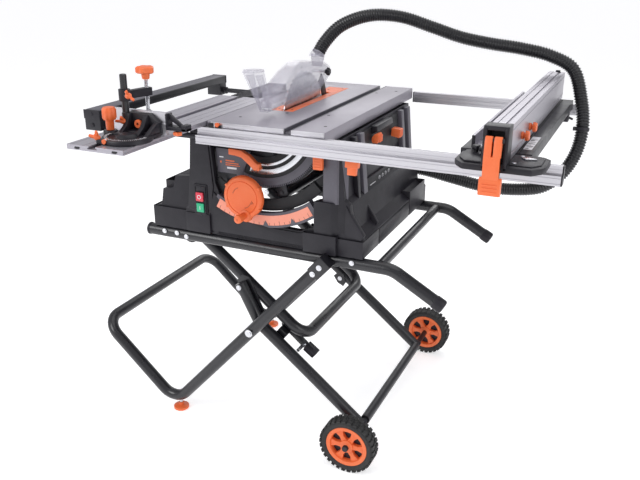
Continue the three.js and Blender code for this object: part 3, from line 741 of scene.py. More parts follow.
def makeWheelFrame():
    y = standFit["inner"]
    stock = Stock()
    stock.take(tubeShape(bentLine([(40, -y, 534), (362, -y, 276), (362, y, 276), (40, y, 534)], 50), 16), 0)
    for side in (-1, 1):
        stock.take(barShape((40, side * (y - 19), 534), (40, side * (y + 28.5), 534), 7), 1)
        stock.takeMesh(boltHeads([((40, side * (y - 19), 534), (0, -side, 0))], brightSteel, 6.5, 5), 1)
    stock.piece("innerFrame", "wheel_frame", [coatedTube, brightSteel], ["inner_frame"])
    for end, side in (("front", -1), ("rear", 1)):
        leg = side * standFit["wheelLegs"]
        stock = Stock()
        stock.take(tubeShape(bentLine([(186, leg, 420), (244, leg, 309), (416, leg, 172), (552, leg, 62)], 60), 16), 0)
        plate = [(166, 418), (184, 438), (203, 434), (258, 322), (262, 300), (244, 288), (228, 302)]
        stock.take(slabShape("y", plate, (leg - side * 15.6, leg - side * 18.8)), 0, 0.8)
        web = [(262, 268), (276, 246), (296, 236), (304, 250), (298, 276), (282, 288)]
        stock.take(slabShape("y", web, (leg - side * 15.6, leg - side * 18.8)), 0, 0.8)
        stock.take(turnedShape([(0, 0), (15, 0), (17.4, 2), (17.4, 12), (15.6, 16), (15.6, 24), (0, 24)],
                               (552, leg, 62), (-0.777, 0, 0.629)), 1)
        spots = [((190, leg + side * 16, 412), (0, side, 0)), ((190, leg - side * 19, 416), (0, -side, 0)),
                 ((284, leg - side * 19, 262), (0, -side, 0))]
        stock.takeMesh(boltHeads(spots, brightSteel, 5.5, 5.0), 2)
        stock.piece(f"wheelLeg_{end}", "wheel_frame", [coatedTube, moulding, brightSteel],
                    [f"wheel_leg_{end}"])
        stock = Stock()
        inner, outer = side * 223, side * (304.3)
        stock.take(barShape((244, inner, 309), (244, outer, 309), 6), 0)
        stock.take(barShape((244, side * 258.4, 309), (244, side * 270.6, 309), 12), 1)
        stock.takeMesh(boltHeads([((244, side * 306.6, 309), (0, side, 0)), ((244, side * 221, 309), (0, -side, 0))],
                                 brightSteel, 8.0, 6.0), 0)
        stock.piece(f"scissorPin_{end}", "wheel_frame", [brightSteel, moulding], [f"scissor_pin_{end}"])
    # the latch plate by the front leg, its two stays and the toe piece
    stock = Stock()
    link = [(286, 314), (302, 318), (322, 294), (372, 252), (386, 240), (374, 228), (350, 240), (306, 276), (288, 292)]
    stock.take(slabShape("y", link, (-199, -195)), 0, 1.0)
    stock.take(slabShape("y", [(296, 300), (318, 282), (306, 266), (284, 284)], (-227, -199)), 0, 1.4)
    stock.take(barShape((352, -230, 244), (352, -196, 244), 5), 1)
    stock.take(slabShape("y", [(366, 252), (396, 230), (386, 218), (358, 238)], (-212, -180)), 2, 2.0)
    stock.takeMesh(boltHeads([((296, -199.2, 304), (0, -1, 0)), ((360, -199.2, 246), (0, -1, 0))], brightSteel, 4, 3),
                   1)
    stock.piece("latchPedal", "wheel_frame", [coatedTube, brightSteel, moulding])
    stock = Stock()
    stock.take(turnedShape([(0, -371), (7, -371), (8, -369.5), (8, -225), (13, -225), (13, 225), (8, 225), (8, 369.5),
                            (7, 371), (0, 371)], (550, 0, 75), (0, 1, 0)), 0)
    stock.piece("wheelAxle", "wheel_frame", [blackMetal], ["wheel_axle"])


def makeFootFrame():
    y = standFit["feet"]
    stock = Stock()
    corners = [(448, -y, 534), (-21, -y, 16.5), (-254, -y, 232)]
    corners += [(x, -b, z) for x, b, z in corners[::-1]]
    stock.take(tubeShape(bentLine(corners, 55), 16), 0)
    slope = math.degrees(math.atan2(225, 204))
    for side in (-1, 1):
        saddle = blockShape((-27, 27), (-18, 18), (-19, 19))
        turn = Matrix.Translation((446, side * y, 531)) @ Matrix.Rotation(-math.radians(slope), 4, "Y")
        bmesh.ops.transform(saddle, matrix=turn, verts=saddle.verts)
        stock.take(saddle, 0, 4.0)
        out = side * (y + 17.5)
        spots = [((448, out, 534), (0, side, 0)), ((430, out, 514), (0, side, 0)),
                 ((244, side * (y + 15.5), 309), (0, side, 0))]
        stock.takeMesh(boltHeads(spots, brightSteel, 5.5, 4.5), 1)
        stock.take(barShape((-4, side * y, 8), (-4, side * y, 34), 5), 1)
    stock.piece("footLoop", "foot_frame", [coatedTube, brightSteel], ["foot_loop"])
    for end, side in (("front", -1), ("rear", 1)):
        stock = Stock()
        profile = [(0, 0), (20, 0), (22, 2), (22, 8), (18, 10), (9, 11.5), (7.4, 13), (7.4, 19.5), (0, 19.5)]
        stock.take(turnedShape(profile, (-4, side * y, 0)), 0)
        stock.takeMesh(arcBlocks(14, 20.6, 0, 360 / 14, (3.2, 7, 3.2), orangeGrip), 0,
                       Matrix.Translation((-4, side * y, 4.8)) @ Matrix.Rotation(math.pi / 2, 4, "X"))
        stock.piece(f"levellingFoot_{end}", f"foot_screw_{end}", [orangeGrip], [f"levelling_foot_{end}"])


wheelFit = {"centre": (550, 75), "y": 342, "spokes": 6, "lugs": 30}


def makeWheels():
    cx, cz = wheelFit["centre"]
    for end, side in (("front", -1), ("rear", 1)):
        y = side * wheelFit["y"]
        place = (cx, y, cz)
        stock = Stock()
        section = [(56.5, -17), (60, -19), (66, -20), (70.5, -17), (72.4, -11), (72.8, 0), (72.4, 11), (70.5, 17),
                   (66, 20),
                   (60, 19), (56.5, 17)]
        stock.take(hoopShape(section, place, (0, 1, 0), 64), 0)
        for row, offset in ((-1, 0.0), (1, 0.5), (0, 0.25)):
            size = (4.4, 13, 9.5) if row else (3.8, 9, 6)
            reach = 72.6 if row else 72.8
            lugs = arcBlocks(wheelFit["lugs"], reach, offset * 360 / wheelFit["lugs"], 360 / wheelFit["lugs"], size,
                             treadRubber)
            stock.takeMesh(lugs, 0, Matrix.Translation((cx, y + row * 12.5, cz)))
        stock.piece(f"tyre_{end}_shape", f"wheel_{end}", [treadRubber], [f"tyre_{end}"])
        stock = Stock()
        rim = [(44, -13), (46, -17), (55.6, -17.5), (56.2, -15), (56.2, 15), (55.6, 17.5), (46, 17), (44, 13)]
        stock.take(hoopShape(rim, place, (0, 1, 0), 64), 0)
        hub = [(0, -20), (9, -20), (12, -17.5), (17, -16), (19, -8), (19, 8), (17, 16), (12, 17.5), (9, 20), (0, 20)]
        stock.take(turnedShape(hub, place, (0, 1, 0), 40), 0)
        stock.take(hoopShape([(14, -2.5), (48, -2.5), (48, 2.5), (14, 2.5)], place, (0, 1, 0), 48), 1)
        for k in range(wheelFit["spokes"]):
            spoke = slabShape("y", [(12, -8.5), (30, -6), (47, -13), (47, 13), (30, 6), (12, 8.5)], (-13, 13))
            easeEdges(spoke, 2.0)
            turn = Matrix.Translation(place) @ Matrix.Rotation(2 * math.pi * k / wheelFit["spokes"], 4, "Y")
            bmesh.ops.transform(spoke, matrix=turn, verts=spoke.verts)
            stock.take(spoke, 0)
        stock.take(turnedShape([(0, -3), (8, -3), (8, 2), (5, 3.4), (0, 3.4)], (cx, y + side * 20, cz), (0, side, 0),
                               24), 1)
        stock.piece(f"wheelHub_{end}_shape", f"wheel_{end}", [orangeGrip, moulding], [f"wheel_hub_{end}"])


makeTopRails()
makeWheelFrame()
makeFootFrame()
makeWheels()
print("stand ready")


# Base housing.

leftFlare = [(-63, 556.3), (-63, 612), (-41, 618), (-33, 664), (0, 670), (9, 704), (54, 708), (66, 844.7)]
rightFlare = [(480, 844.7), (494, 700), (508, 690), (520, 622), (545, 604), (545, 556.3)]
bowlEdge = [(440, 844.7), (436, 700), (428, 628), (376, 604), (290, 606), (205, 622), (150, 655), (132, 700),
            (118, 844.7)]
bladeAxis = (262, 875)


def wallStrip(path, thick):
    sides = []
    for (ax, az), (bx, bz) in zip(path, path[1:]):
        length = math.hypot(bx - ax, bz - az)
        sides.append(((bz - az) / length, -(bx - ax) / length))
    inner = []
    for i, (x, z) in enumerate(path):
        a, b = sides[max(i - 1, 0)], sides[min(i, len(sides) - 1)]
        k = thick / (1 + a[0] * b[0] + a[1] * b[1])
        inner.append((x + (a[0] + b[0]) * k, z + (a[1] + b[1]) * k))
    return path + inner[::-1]


def makeBaseFront():
    stock = Stock()
    stock.take(slabShape("y", leftFlare + bowlEdge[::-1] + rightFlare, (-258, -240)), 0, 1.6)
    stock.take(slabShape("y", [(67, 843), (57, 720), (46, 622), (117, 610), (127, 690), (114, 843)], (-262, -256)), 0,
               2.2)
    sill = [(114, 567), (388, 567), (392, 607), (376, 600), (290, 601.5), (205, 617), (152, 648), (128, 676),
            (116, 630)]
    stock.take(slabShape("y", sill, (-262.5, -256)), 0, 2.4)
    upper = [(440, -262), (476, -262), (496, -241), (497, -239.5), (444, -239.5)]
    stock.take(slabShape("z", upper, (688, 843)), 1, 2.0)
    lower = [(416, -268), (464, -268), (494, -246), (500, -239.5), (424, -239.5)]
    stock.take(slabShape("z", lower, (604, 692)), 0, 3.5)
    stock.take(trayShape((388, 478), (-272, -226), (557, 609), 6, 14), 0)
    stock.take(blockShape((40, 116), (-268, -242), (557, 612)), 0, 5.0)
    stock.take(slabShape("x", [(-264, 614), (-258, 626), (-256, 626), (-256, 610), (-264, 610)], (40, 116)), 0, 1.0)
    stock.takeMesh(rowBlocks(60, (136, -258.6, 561.6), (4.15, 0, 0), (1.5, 3.4, 8.6), moulding, (0, 0.35, 0)), 0)
    stock.takeMesh(rowBlocks(2, (256, -258.2, 557.6), (0, 0, 9.2), (252, 3.6, 1.4), moulding), 0)
    spots = [((x, -262.3, z), (0, -1, 0)) for x, z in ((52, 828), (106, 828), (470, 828), (446, 828))]
    stock.takeMesh(boltHeads(spots, blackMetal, 3.2, 2.4, 18), 2)
    stock.piece("baseFront", "saw_base", [moulding, satinSlate, blackMetal], ["base_front"])


def makeBaseSides():
    stock = Stock()
    stock.take(slabShape("y", wallStrip(leftFlare, 5), (-239.7, 251.7)), 0, 0.8)
    stock.take(trayShape((-65, 42), (-264, -150), (556.5, 615), 8, 30), 0)
    stock.take(trayShape((-65, 36), (150, 251), (556.5, 615), 8, 30), 0)
    stock.take(trayShape((-37, 34), (-238, -122), (611, 684), 7, 20), 0)
    stock.take(trayShape((-10, 46), (-118, 60), (611, 714), 7, 14), 0)
    stock.take(trayShape((-37, 34), (64, 250), (611, 678), 7, 18), 0)
    for y in (-150, -60, 40, 140, 215):
        rib = [(11, 704), (48, 708), (61, 843), (53, 843), (42, 730), (9, 716)]
        stock.take(slabShape("y", rib, (y, y + 9)), 0, 1.2)
    stock.piece("baseLeft", "saw_base", [moulding], ["base_left"])

    stock = Stock()
    stock.take(slabShape("y", wallStrip(rightFlare, 5), (-239.7, 251.7)), 0, 0.8)
    stock.take(trayShape((474, 547), (-264, -150), (556.5, 603), 8, 27), 0)
    stock.take(trayShape((500, 547), (-147, 96), (556.5, 600), 6, 20), 0)
    stock.take(trayShape((500, 547), (100, 240), (556.5, 628), 8, 22), 0)
    stock.take(slabShape("y", [(496, 612), (540, 604), (548, 616), (512, 668), (500, 690)], (-262, -246)), 0, 2.5)
    stock.take(slabShape("y", [(496, 612), (536, 604), (542, 616), (508, 668), (500, 690)], (-150, -140)), 0, 1.5)
    for y, width in ((-196, 16), (-158, 26), (152, 22), (206, 24)):
        rib = [(508, 688), (494, 842), (481, 842), (494, 702)]
        stock.take(slabShape("y", rib, (y, y + width)), 1 if width > 20 else 0, 2.0)
    # A near-black sheet across the cut-outs at the top of the right wall: painted shade in the recess.
    stock.take(slabShape("y", [(481.8, 838), (489.6, 756), (491.4, 756), (483.6, 838)], (-128, 148)), 2)
    stock.take(slabShape("y", [(484, 842), (500, 842), (502, 828), (486, 820)], (-60, 60)), 0, 1.5)
    stock.take(blockShape((484, 500), (-120, 144), (604, 718)), 0, 2.6)
    stock.piece("baseRight", "saw_base", [moulding, satinSlate, darkPrintAndShade], ["base_right"])


# The information panel on the right: plain blocks and bars that carry no words.
def makeSidePanel():
    panel = {"face": 500.2, "thick": 0.5}
    near, far = panel["face"], panel["face"] + panel["thick"]
    stock = Stock()
    stock.take(blockShape((near - 0.4, near + 0.1), (-110, 134), (611, 711)), 0)
    for z0, z1, y0, y1 in ((676, 682, -46, 62), (660, 664, -46, 20), (650, 653, -46, 48), (640, 643, -46, 30),
                           (622, 630, -34, 74), (694, 697, -100, -60)):
        stock.take(blockShape((near, far), (y0, y1), (z0, z1)), 1)
    for y in (-30, -6, 18, 42):
        stock.take(hoopShape([(4, 0), (5.4, 0), (5.4, 0.5), (4, 0.5)], (near, y, 699), (1, 0, 0), 20), 1)
    for y0, z0 in ((-102, 617), (-80, 617), (-102, 634)):
        stock.take(blockShape((near, far), (y0, y0 + 16), (z0, z0 + 12)), 2)
    stock.takeMesh(rowBlocks(12, (near + 0.2, -98, 668), (0, 3.6, 0), (0.6, 1.2, 36), whiteMark, (0.5, 0, 0)), 1)
    stock.piece("sidePanel", "saw_base", [darkPrintAndShade, whiteMark, orangeGrip])

    stock = Stock()
    plate = [(134, 726), (206, 726), (232, 790), (130, 790)]
    stock.take(slabShape("y", plate, (-244, -240.2)), 0, 0.8)
    for x0, x1, z0, z1, tone in ((140, 152, 766, 769, 1), (158, 184, 758, 761, 2), (158, 196, 752, 754.5, 2),
                                 (158, 200, 747, 749, 2), (162, 190, 738, 743, 1), (142, 146, 752, 757, 2)):
        stock.take(blockShape((x0, x1), (-244.7, -244), (z0, z1)), tone)
    stock.piece("innerPlate", "saw_base", [satinSlate, whiteMark, orangeGrip])


def makeSwitch():
    stock = Stock()
    stock.take(blockShape((70, 110), (-265.7, -258.3), (606, 692)), 0, 3.0)
    for x, z in (((73, 79.4), (611, 687)), ((102.6, 107), (611, 687)), ((76, 105), (609, 617.4)),
                 ((76, 105), (642.6, 647.4)),
                 ((76, 105), (672.6, 688))):
        stock.take(blockShape(x, (-268.6, -265), z), 0, 0.8)
    stock.take(blockShape((78, 104), (-265.9, -265.6), (616, 674)), 1)
    stock.takeMesh(boltHeads([((90, -268.6, z), (0, -1, 0)) for z in (609, 683)], blackMetal, 2.2, 1.4, 16), 2)
    stock.piece("switchPlate", "saw_base", [moulding, darkPrintAndShade, blackMetal], ["switch_plate"])
    stock = Stock()
    stock.take(blockShape((80, 102), (-274.5, -269), (648, 672)), 0, 2.2)
    stock.take(hoopShape([(4.2, 0), (5.6, 0), (5.6, 0.5), (4.2, 0.5)], (91, -274.6, 660), (0, -1, 0), 28), 1)
    stock.piece("stopButton", "stop", [redCap, whiteMark], ["stop_button"])
    stock = Stock()
    stock.take(blockShape((80, 102), (-273, -269), (618, 642)), 0, 1.8)
    stock.take(blockShape((90.4, 91.6), (-273.4, -272.8), (625, 635)), 1)
    stock.piece("startButton", "start", [greenCap, whiteMark], ["start_button"])


def makeBevelScale():
    stock = Stock()
    cx, cz = bladeAxis
    stock.take(sectorShape(bladeAxis, (236, 276), (-121, -53), (-262, -246), 36), 0, 1.4)
    stock.take(sectorShape(bladeAxis, (243, 269), (-118, -56), (-262.7, -262), 36), 1)
    for k in range(-9, 10):
        a = math.radians(-87 + 3.2 * k)
        far = 262 if k % 3 else 258
        tick = slabShape("y", [(cx + r * math.cos(a + s), cz + r * math.sin(a + s))
                               for r, s in ((269, -0.0013), (269, 0.0013), (far, 0.0013), (far, -0.0013))],
                               (-263, -262.6))
        stock.take(tick, 2)
    for k in (-1, 0, 1):
        a = math.radians(-86 + 17 * k)
        tip, foot, half = 256, 270, 0.03
        corners = [(tip, 0), (foot, half), (foot, -half)]
        stock.take(slabShape("y", [(cx + r * math.cos(a + s), cz + r * math.sin(a + s)) for r, s in corners],
                             (-263.4, -262.4)), 0)
    # A near-black band inside the opening behind the scale: painted shade.
    stock.take(sectorShape(bladeAxis, (203, 235), (-128, -44), (-247, -239.5), 36), 3, 2.0)
    stock.piece("bevelScale", "saw_base", [satinSlate, scalePeach, moulding, darkPrintAndShade])

    stock = Stock()
    # A near-black plate behind the silver arcs: painted shade in the slots between them.
    stock.take(sectorShape(bladeAxis, (96, 170), (-116, -26), (-241.4, -238.6), 36), 0, 0.6)
    stock.take(sectorShape(bladeAxis, (112, 118.5), (-104, -34), (-243.6, -241.2), 36), 1, 0.5)
    stock.take(sectorShape(bladeAxis, (127, 140), (-104, -30), (-244.4, -241.2), 36), 1, 0.8)
    stock.take(sectorShape(bladeAxis, (150, 169), (-116, -27), (-243, -241.2), 36), 3, 0.6)
    teeth = arcBlocks(46, 171.5, -112, 1.85, (6, 3.0, 2.6), blackMetal)
    stock.takeMesh(teeth, 3, Matrix.Translation((cx, -240.4, cz)))
    stock.take(sectorShape(bladeAxis, (130, 178), (-165, -15), (-223, -215), 40), 2, 0.8)
    stock.piece("trunnionFace", "saw_base", [darkPrintAndShade, brightSteel, moulding, satinSlate],
                ["trunnion"])


def makeTiltCradle():
    stock = Stock()
    front = [(147, 830), (270, 813), (332, 747), (330, 724), (262, 712), (246, 700), (240, 652), (202, 643), (157, 670)]
    arm = [(296, 722), (324, 722), (332, 684), (324, 668), (308, 670), (302, 686)]
    rear = [(147, 830), (270, 813), (332, 747), (338, 659), (202, 643), (157, 670)]
    stock.take(slabShape("y", front, (-236, -227)), 0, 1.0)
    stock.take(slabShape("y", arm, (-235.4, -227.6)), 0, 1.0)
    stock.take(slabShape("y", rear, (227, 236)), 0, 1.0)
    stock.take(barShape((317, -230, 685), (317, 230, 685), 12), 0)
    stock.take(blockShape((254, 270), (162, 230), (765, 805)), 0, 1.2)
    stock.takeMesh(boltHeads([((x, -236.4, z), (0, -1, 0)) for x, z in ((168, 690), (228, 672), (318, 736),
            (314, 690))],
                             blackMetal, 4.4, 3.6), 0)
    stock.piece("tiltCradle", "tilt_unit", [blackMetal], ["tilt_cradle"])


def orangeLever(stock, x, y, z, ribs=4):
    stock.take(blockShape(x, y, z), 0, 2.4)
    rise = (z[1] - z[0]) / (ribs + 1)
    for k in range(ribs):
        level = z[0] + rise * (k + 1)
        stock.take(blockShape((x[0] + 3, x[1] - 3), (y[0] - 1.0, y[0] + 1), (level - 1.1, level + 1.1)), 0, 0.4)


def makeBaseLevers():
    stock = Stock()
    orangeLever(stock, (419, 444), (-278, -266), (774, 812), 5)
    stock.take(blockShape((424, 439), (-268, -258), (792, 812)), 1, 1.5)
    stock.take(slabShape("y", [(492, 800), (506, 800), (512, 812), (508, 826), (496, 822), (490, 812)], (-72, -46)),
               0, 2.2)
    stock.takeMesh(rowBlocks(5, (511, -68, 812), (0, 4.6, 0), (3, 1.8, 18), orangeGrip), 0)
    stock.take(slabShape("y", [(490, 786), (516, 782), (518, 806), (492, 808)], (78, 104)), 0, 2.6)
    stock.takeMesh(rowBlocks(4, (517, 83, 795), (0, 5.4, 0), (2.4, 2, 18), orangeGrip), 0)
    stock.piece("baseLevers", "saw_base", [orangeGrip, moulding])

    stock = Stock()
    outline = [(186, 801), (222, 799), (246, 787), (262, 772), (274, 769), (272, 756), (258, 751), (244, 764),
               (222, 781), (204, 784), (186, 785)]
    stock.take(slabShape("y", outline, (-276, -262)), 0, 2.4)
    for k in range(3):
        stock.take(slabShape("y", arcLine(266 + 2 * k, 766 - 5 * k, 4, 0, 360, 12)[:-1], (-277, -261)), 0, 0.8)
    stock.piece("bevelLever", "bevel_lock", [orangeGrip], ["bevel_lock_lever"])

    stock = Stock()
    stock.take(slabShape("x", [(-299, 778), (-288, 776), (-281, 812), (-297, 813)], (516, 538)), 0, 2.0)
    stock.take(slabShape("x", [(-301, 796), (-285, 794), (-281, 813), (-299, 814)], (511, 543)), 0, 2.0)
    stock.piece("railLockLever", "rail_lock", [orangeGrip], ["rail_lock_lever"])


def makeCrank():
    cx, cz = 232, 683
    knob = (239, 638)
    stock = Stock()
    profile = [(0, -25), (7, -25), (7, 12), (46, 12), (52, 13.5), (55, 17), (55.3, 24), (53.5, 29), (50, 31.6),
               (44.2, 32.2),
               (43.4, 30.8), (42.2, 30.8), (41.4, 32.2), (20, 32.9), (0, 33)]
    stock.take(turnedShape([(r, h - 8) for r, h in profile], (cx, -271, cz), (0, -1, 0), 72), 0)
    for k in (0.55, 2.6, 3.7, 5.75):
        notch = turnedShape([(0, 0), (3.4, 0), (3.8, 2), (3.8, 13), (3.0, 15), (0, 15)],
                            (cx + 53.5 * math.cos(k), -279, cz + 53.5 * math.sin(k)), (0, -1, 0), 16)
        stock.take(notch, 0)
    # Darker orange arcs and arrowhead flush on the crank face: painted shade in the sunk arrow.
    stock.take(sectorShape((cx, cz), (26, 28.2), (-74, -18), (-296.4, -295.2), 16), 1)
    stock.take(slabShape("y", [(cx + 26, cz - 14), (cx + 33, cz - 11), (cx + 27, cz - 4)], (-296.4, -295.2)), 1)
    stock.take(sectorShape((cx, cz), (26, 28.2), (112, 160), (-296.4, -295.2), 16), 1)
    boss = turnedShape([(0, 0), (15, 0), (15, 1.4), (12.4, 3.4), (0, 3.4)], (knob[0], -295.4, knob[1]), (0, -1, 0), 32)
    stock.take(boss, 0)
    stock.take(turnedShape([(0, 0), (15.4, 0), (16.4, 2), (16.4, 12), (14, 15), (0, 15)],
                           (237, -277, 634), (0, -1, 0), 32), 0)
    crankRecessShade = makeFinish("painted crank recess shade", (0.42, 0.07, 0.02), (0.6, 0.14, 0.05), (0.4, 0.55))
    stock.piece("crankWheel", "crank", [orangeGrip, crankRecessShade], ["crank_wheel"])
    stock = Stock()
    grip = [(0, 0), (8, 0), (8.6, 2), (9.2, 8), (10.6, 22), (11.2, 32), (10, 36.5), (6.5, 38.6), (0, 39)]
    stock.take(turnedShape(grip, (knob[0], -296.3, knob[1]), (0, -1, 0), 32), 0)
    # A darker orange dot at the handle's end: painted shade in its hole.
    stock.take(turnedShape([(0, 0), (3, 0), (3, 0.6), (0, 0.6)], (knob[0], -334.6, knob[1]), (0, -1, 0), 16), 1)
    stock.piece("crankHandle", "crank", [orangeGrip, crankRecessShade], ["crank_handle"])


makeBaseFront()
makeBaseSides()
makeSidePanel()
makeSwitch()
makeBevelScale()
makeTiltCradle()
makeBaseLevers()
makeCrank()
eased("base_rear", "saw_base", moulding, 1.0)
eased("dust_port", "saw_base", moulding, 3.0)
print("base ready")


# Table, blade and guard.

def discMark(stock, x, y, z, radius, finish):
    stock.take(turnedShape([(0, -1.2), (radius, -1.2), (radius, 0.12), (radius - 0.5, 0.2), (0, 0.2)], (x, y, z),
                           steps=20), finish)


def makeTable():
    eased("table_main", "saw_base", tableGrey, 1.6)
    eased("table_wing", "saw_base", tableGrey, 1.6)
    eased("mitre_track", "saw_base", satinSlate, 0.5)
    eased("throat_plate", "saw_base", orangeGrip, 0.5)
    eased("carriage_guide", "saw_base", moulding, 1.2)
    stock = Stock()
    # Near-black discs and a strip laid on the table top: painted shade in its holes and slot.
    for x, y in ((396, -131), (397, 211), (288.5, -150), (204, 240), (204, -240), (440, -250), (440, 260)):
        discMark(stock, x, y, 875, 4.2, 0)
    for x, y in ((281, -105), (244, -105), (248, 205), (281, 232)):
        discMark(stock, x, y, 875, 3.2, 0)
    stock.take(blockShape((250.5, 256.2), (-118, 160), (871.2, 874.4)), 0)
    for y in (-200, -100, 20, 140, 260):
        stock.take(blockShape((390, 462), (y - 2, y + 2), (849, 864)), 1)
        if y < -130 or y > 250:
            stock.take(blockShape((149, 355), (y - 2, y + 2), (849, 864)), 1)
    stock.takeMesh(rowBlocks(32, (31.5, 40, 863.1), (0, 8, 0), (58, 2.6, 1.2), moulding), 2)
    stock.piece("tableFittings", "saw_base", [darkPrintAndShade, tableGrey, moulding])
    stock = Stock()
    for x in ((165, 363.6), (382.6, 466)):
        stock.take(blockShape(x, (-318.4, -313.2), (862.7, 874.2)), 0, 0.8)
    stock.take(blockShape((178, 181), (-325, -318.6), (863, 874)), 0, 0.4)
    stock.take(blockShape((164, 178), (-327, -318.6), (862.6, 873)), 1, 1.2)
    stock.take(blockShape((181, 194), (-325, -318.6), (862.6, 868)), 1, 1.0)
    stock.take(lobedShape((187, -319, 869.5), (0, -1, 0), 5.8, 8, 6, 1.0), 2)
    stock.piece("tableLip", "saw_base", [alongX, moulding, orangeGrip])


def makeBlade():
    stock = Stock()
    place = (262, 0, 832.5)
    plate = [(12.8, -0.9), (121, -0.9), (122, -0.7), (122, 0.7), (121, 0.9), (12.8, 0.9)]
    stock.take(hoopShape(plate, place, (1, 0, 0), 96), 0)
    turn = Matrix.Translation(place) @ Matrix.Rotation(math.pi / 2, 4, "Z")
    stock.takeMesh(arcBlocks(40, 121.6, 0, 9, (6, 1.9, 9), brightSteel, 0.25), 0, turn)
    stock.takeMesh(arcBlocks(40, 124.8, 1.6, 9, (4.6, 2.6, 2.4), brightSteel, 0.1), 0, turn)
    stock.take(hoopShape([(60, 0.9), (61, 1.0), (62, 0.9), (62, 0.7), (60, 0.7)], place, (1, 0, 0), 72), 0)
    stock.piece("sawBlade", "blade", [brightSteel], ["saw_blade"])
    eased("arbor", "blade", brightSteel, 0.5)
    eased("riving_knife", "tilt_unit", blackMetal, 0.4)
    eased("motor_unit", "lift_unit", moulding, 2.0)
    stock = Stock()
    turn = Matrix.Translation((160, 40, 770)) @ Matrix.Rotation(math.pi / 2, 4, "Z")
    stock.takeMesh(arcBlocks(28, 46.2, 0, 360 / 28, (3, 118, 2.2), moulding), 0, turn)
    # Near-black radial bars at the motor end: painted shade in its vent.
    stock.takeMesh(arcBlocks(14, 24, 0, 360 / 14, (22, 1.6, 3), moulding), 1,
                   Matrix.Translation((83.8, 40, 770)) @ Matrix.Rotation(math.pi / 2, 4, "Z"))
    stock.takeMesh(boltHeads([((257.2, y, z), (1, 0, 0)) for y, z in ((-52, 772), (-52, 850), (76, 772), (76, 850))],
                             blackMetal, 3.6, 3.0), 1)
    stock.piece("motorFins", "lift_unit", [moulding, darkPrintAndShade])


def makeGuard():
    eased("blade_guard", "guard", clearShell, 1.2, 50)
    stock = Stock()
    outline = [(-224, 888), (-204, 888), (-203.5, 900), (-238, 992), (-244, 996), (-292, 1001), (-302, 996),
               (-299, 990)]
    stock.take(slabShape("x", outline, (250, 274)), 0, 1.6)
    stock.take(slabShape("x", [(-238, 993), (-243, 997.5), (-294, 1002.4), (-302.5, 998), (-302, 994), (-240, 990)],
                         (248.5, 275.5)), 0, 1.4)
    for x in (249.2, 274.2):
        stock.take(slabShape("x", [(-222, 892), (-214, 892), (-246, 984), (-286, 988)], (x, x + 0.6)), 0, 0.3)
    stock.take(barShape((249, -208, 893), (275, -208, 893), 3), 1)
    stock.piece("guardNose", "guard_nose", [clearShell, brightSteel], ["guard_flap"])
    stock = Stock()
    stock.take(barShape((244, 100, 945), (288, 100, 945), 3.2), 1)
    stock.take(lobedShape((288, 100, 945), (1, 0, 0), 11, 10, 6, 2.4), 0)
    stock.take(turnedShape([(0, 0), (5, 0), (6, 2), (6, 6), (0, 6)], (284, 100, 945), (1, 0, 0), 20), 0)
    for y, z in ((-170, 905), (60, 905), (-40, 975)):
        stock.take(turnedShape([(0, 0), (3, 0), (3, 2.2), (2.2, 2.8), (0, 2.8)], (285 - (8 if z > 960 else 0), y, z),
                               (1, 0, 0), 16), 1)
    stock.piece("guardKnob", "guard", [moulding, brightSteel])
    eased("hose_cuff", "tilt_unit", clearShell, 0.6, 50)
    stock = Stock()
    duct = [(14, 0), (15, 0), (16.5, 10), (19, 20), (20, 33), (19, 33), (18, 20.4), (15.5, 10.4)]
    stock.take(hoopShape(duct, (262, 91.6, 959), Vector((0, 8, 42)).normalized(), 40), 0)
    stock.piece("cuffDuct", "tilt_unit", [clearShell])


# Rails and fence.

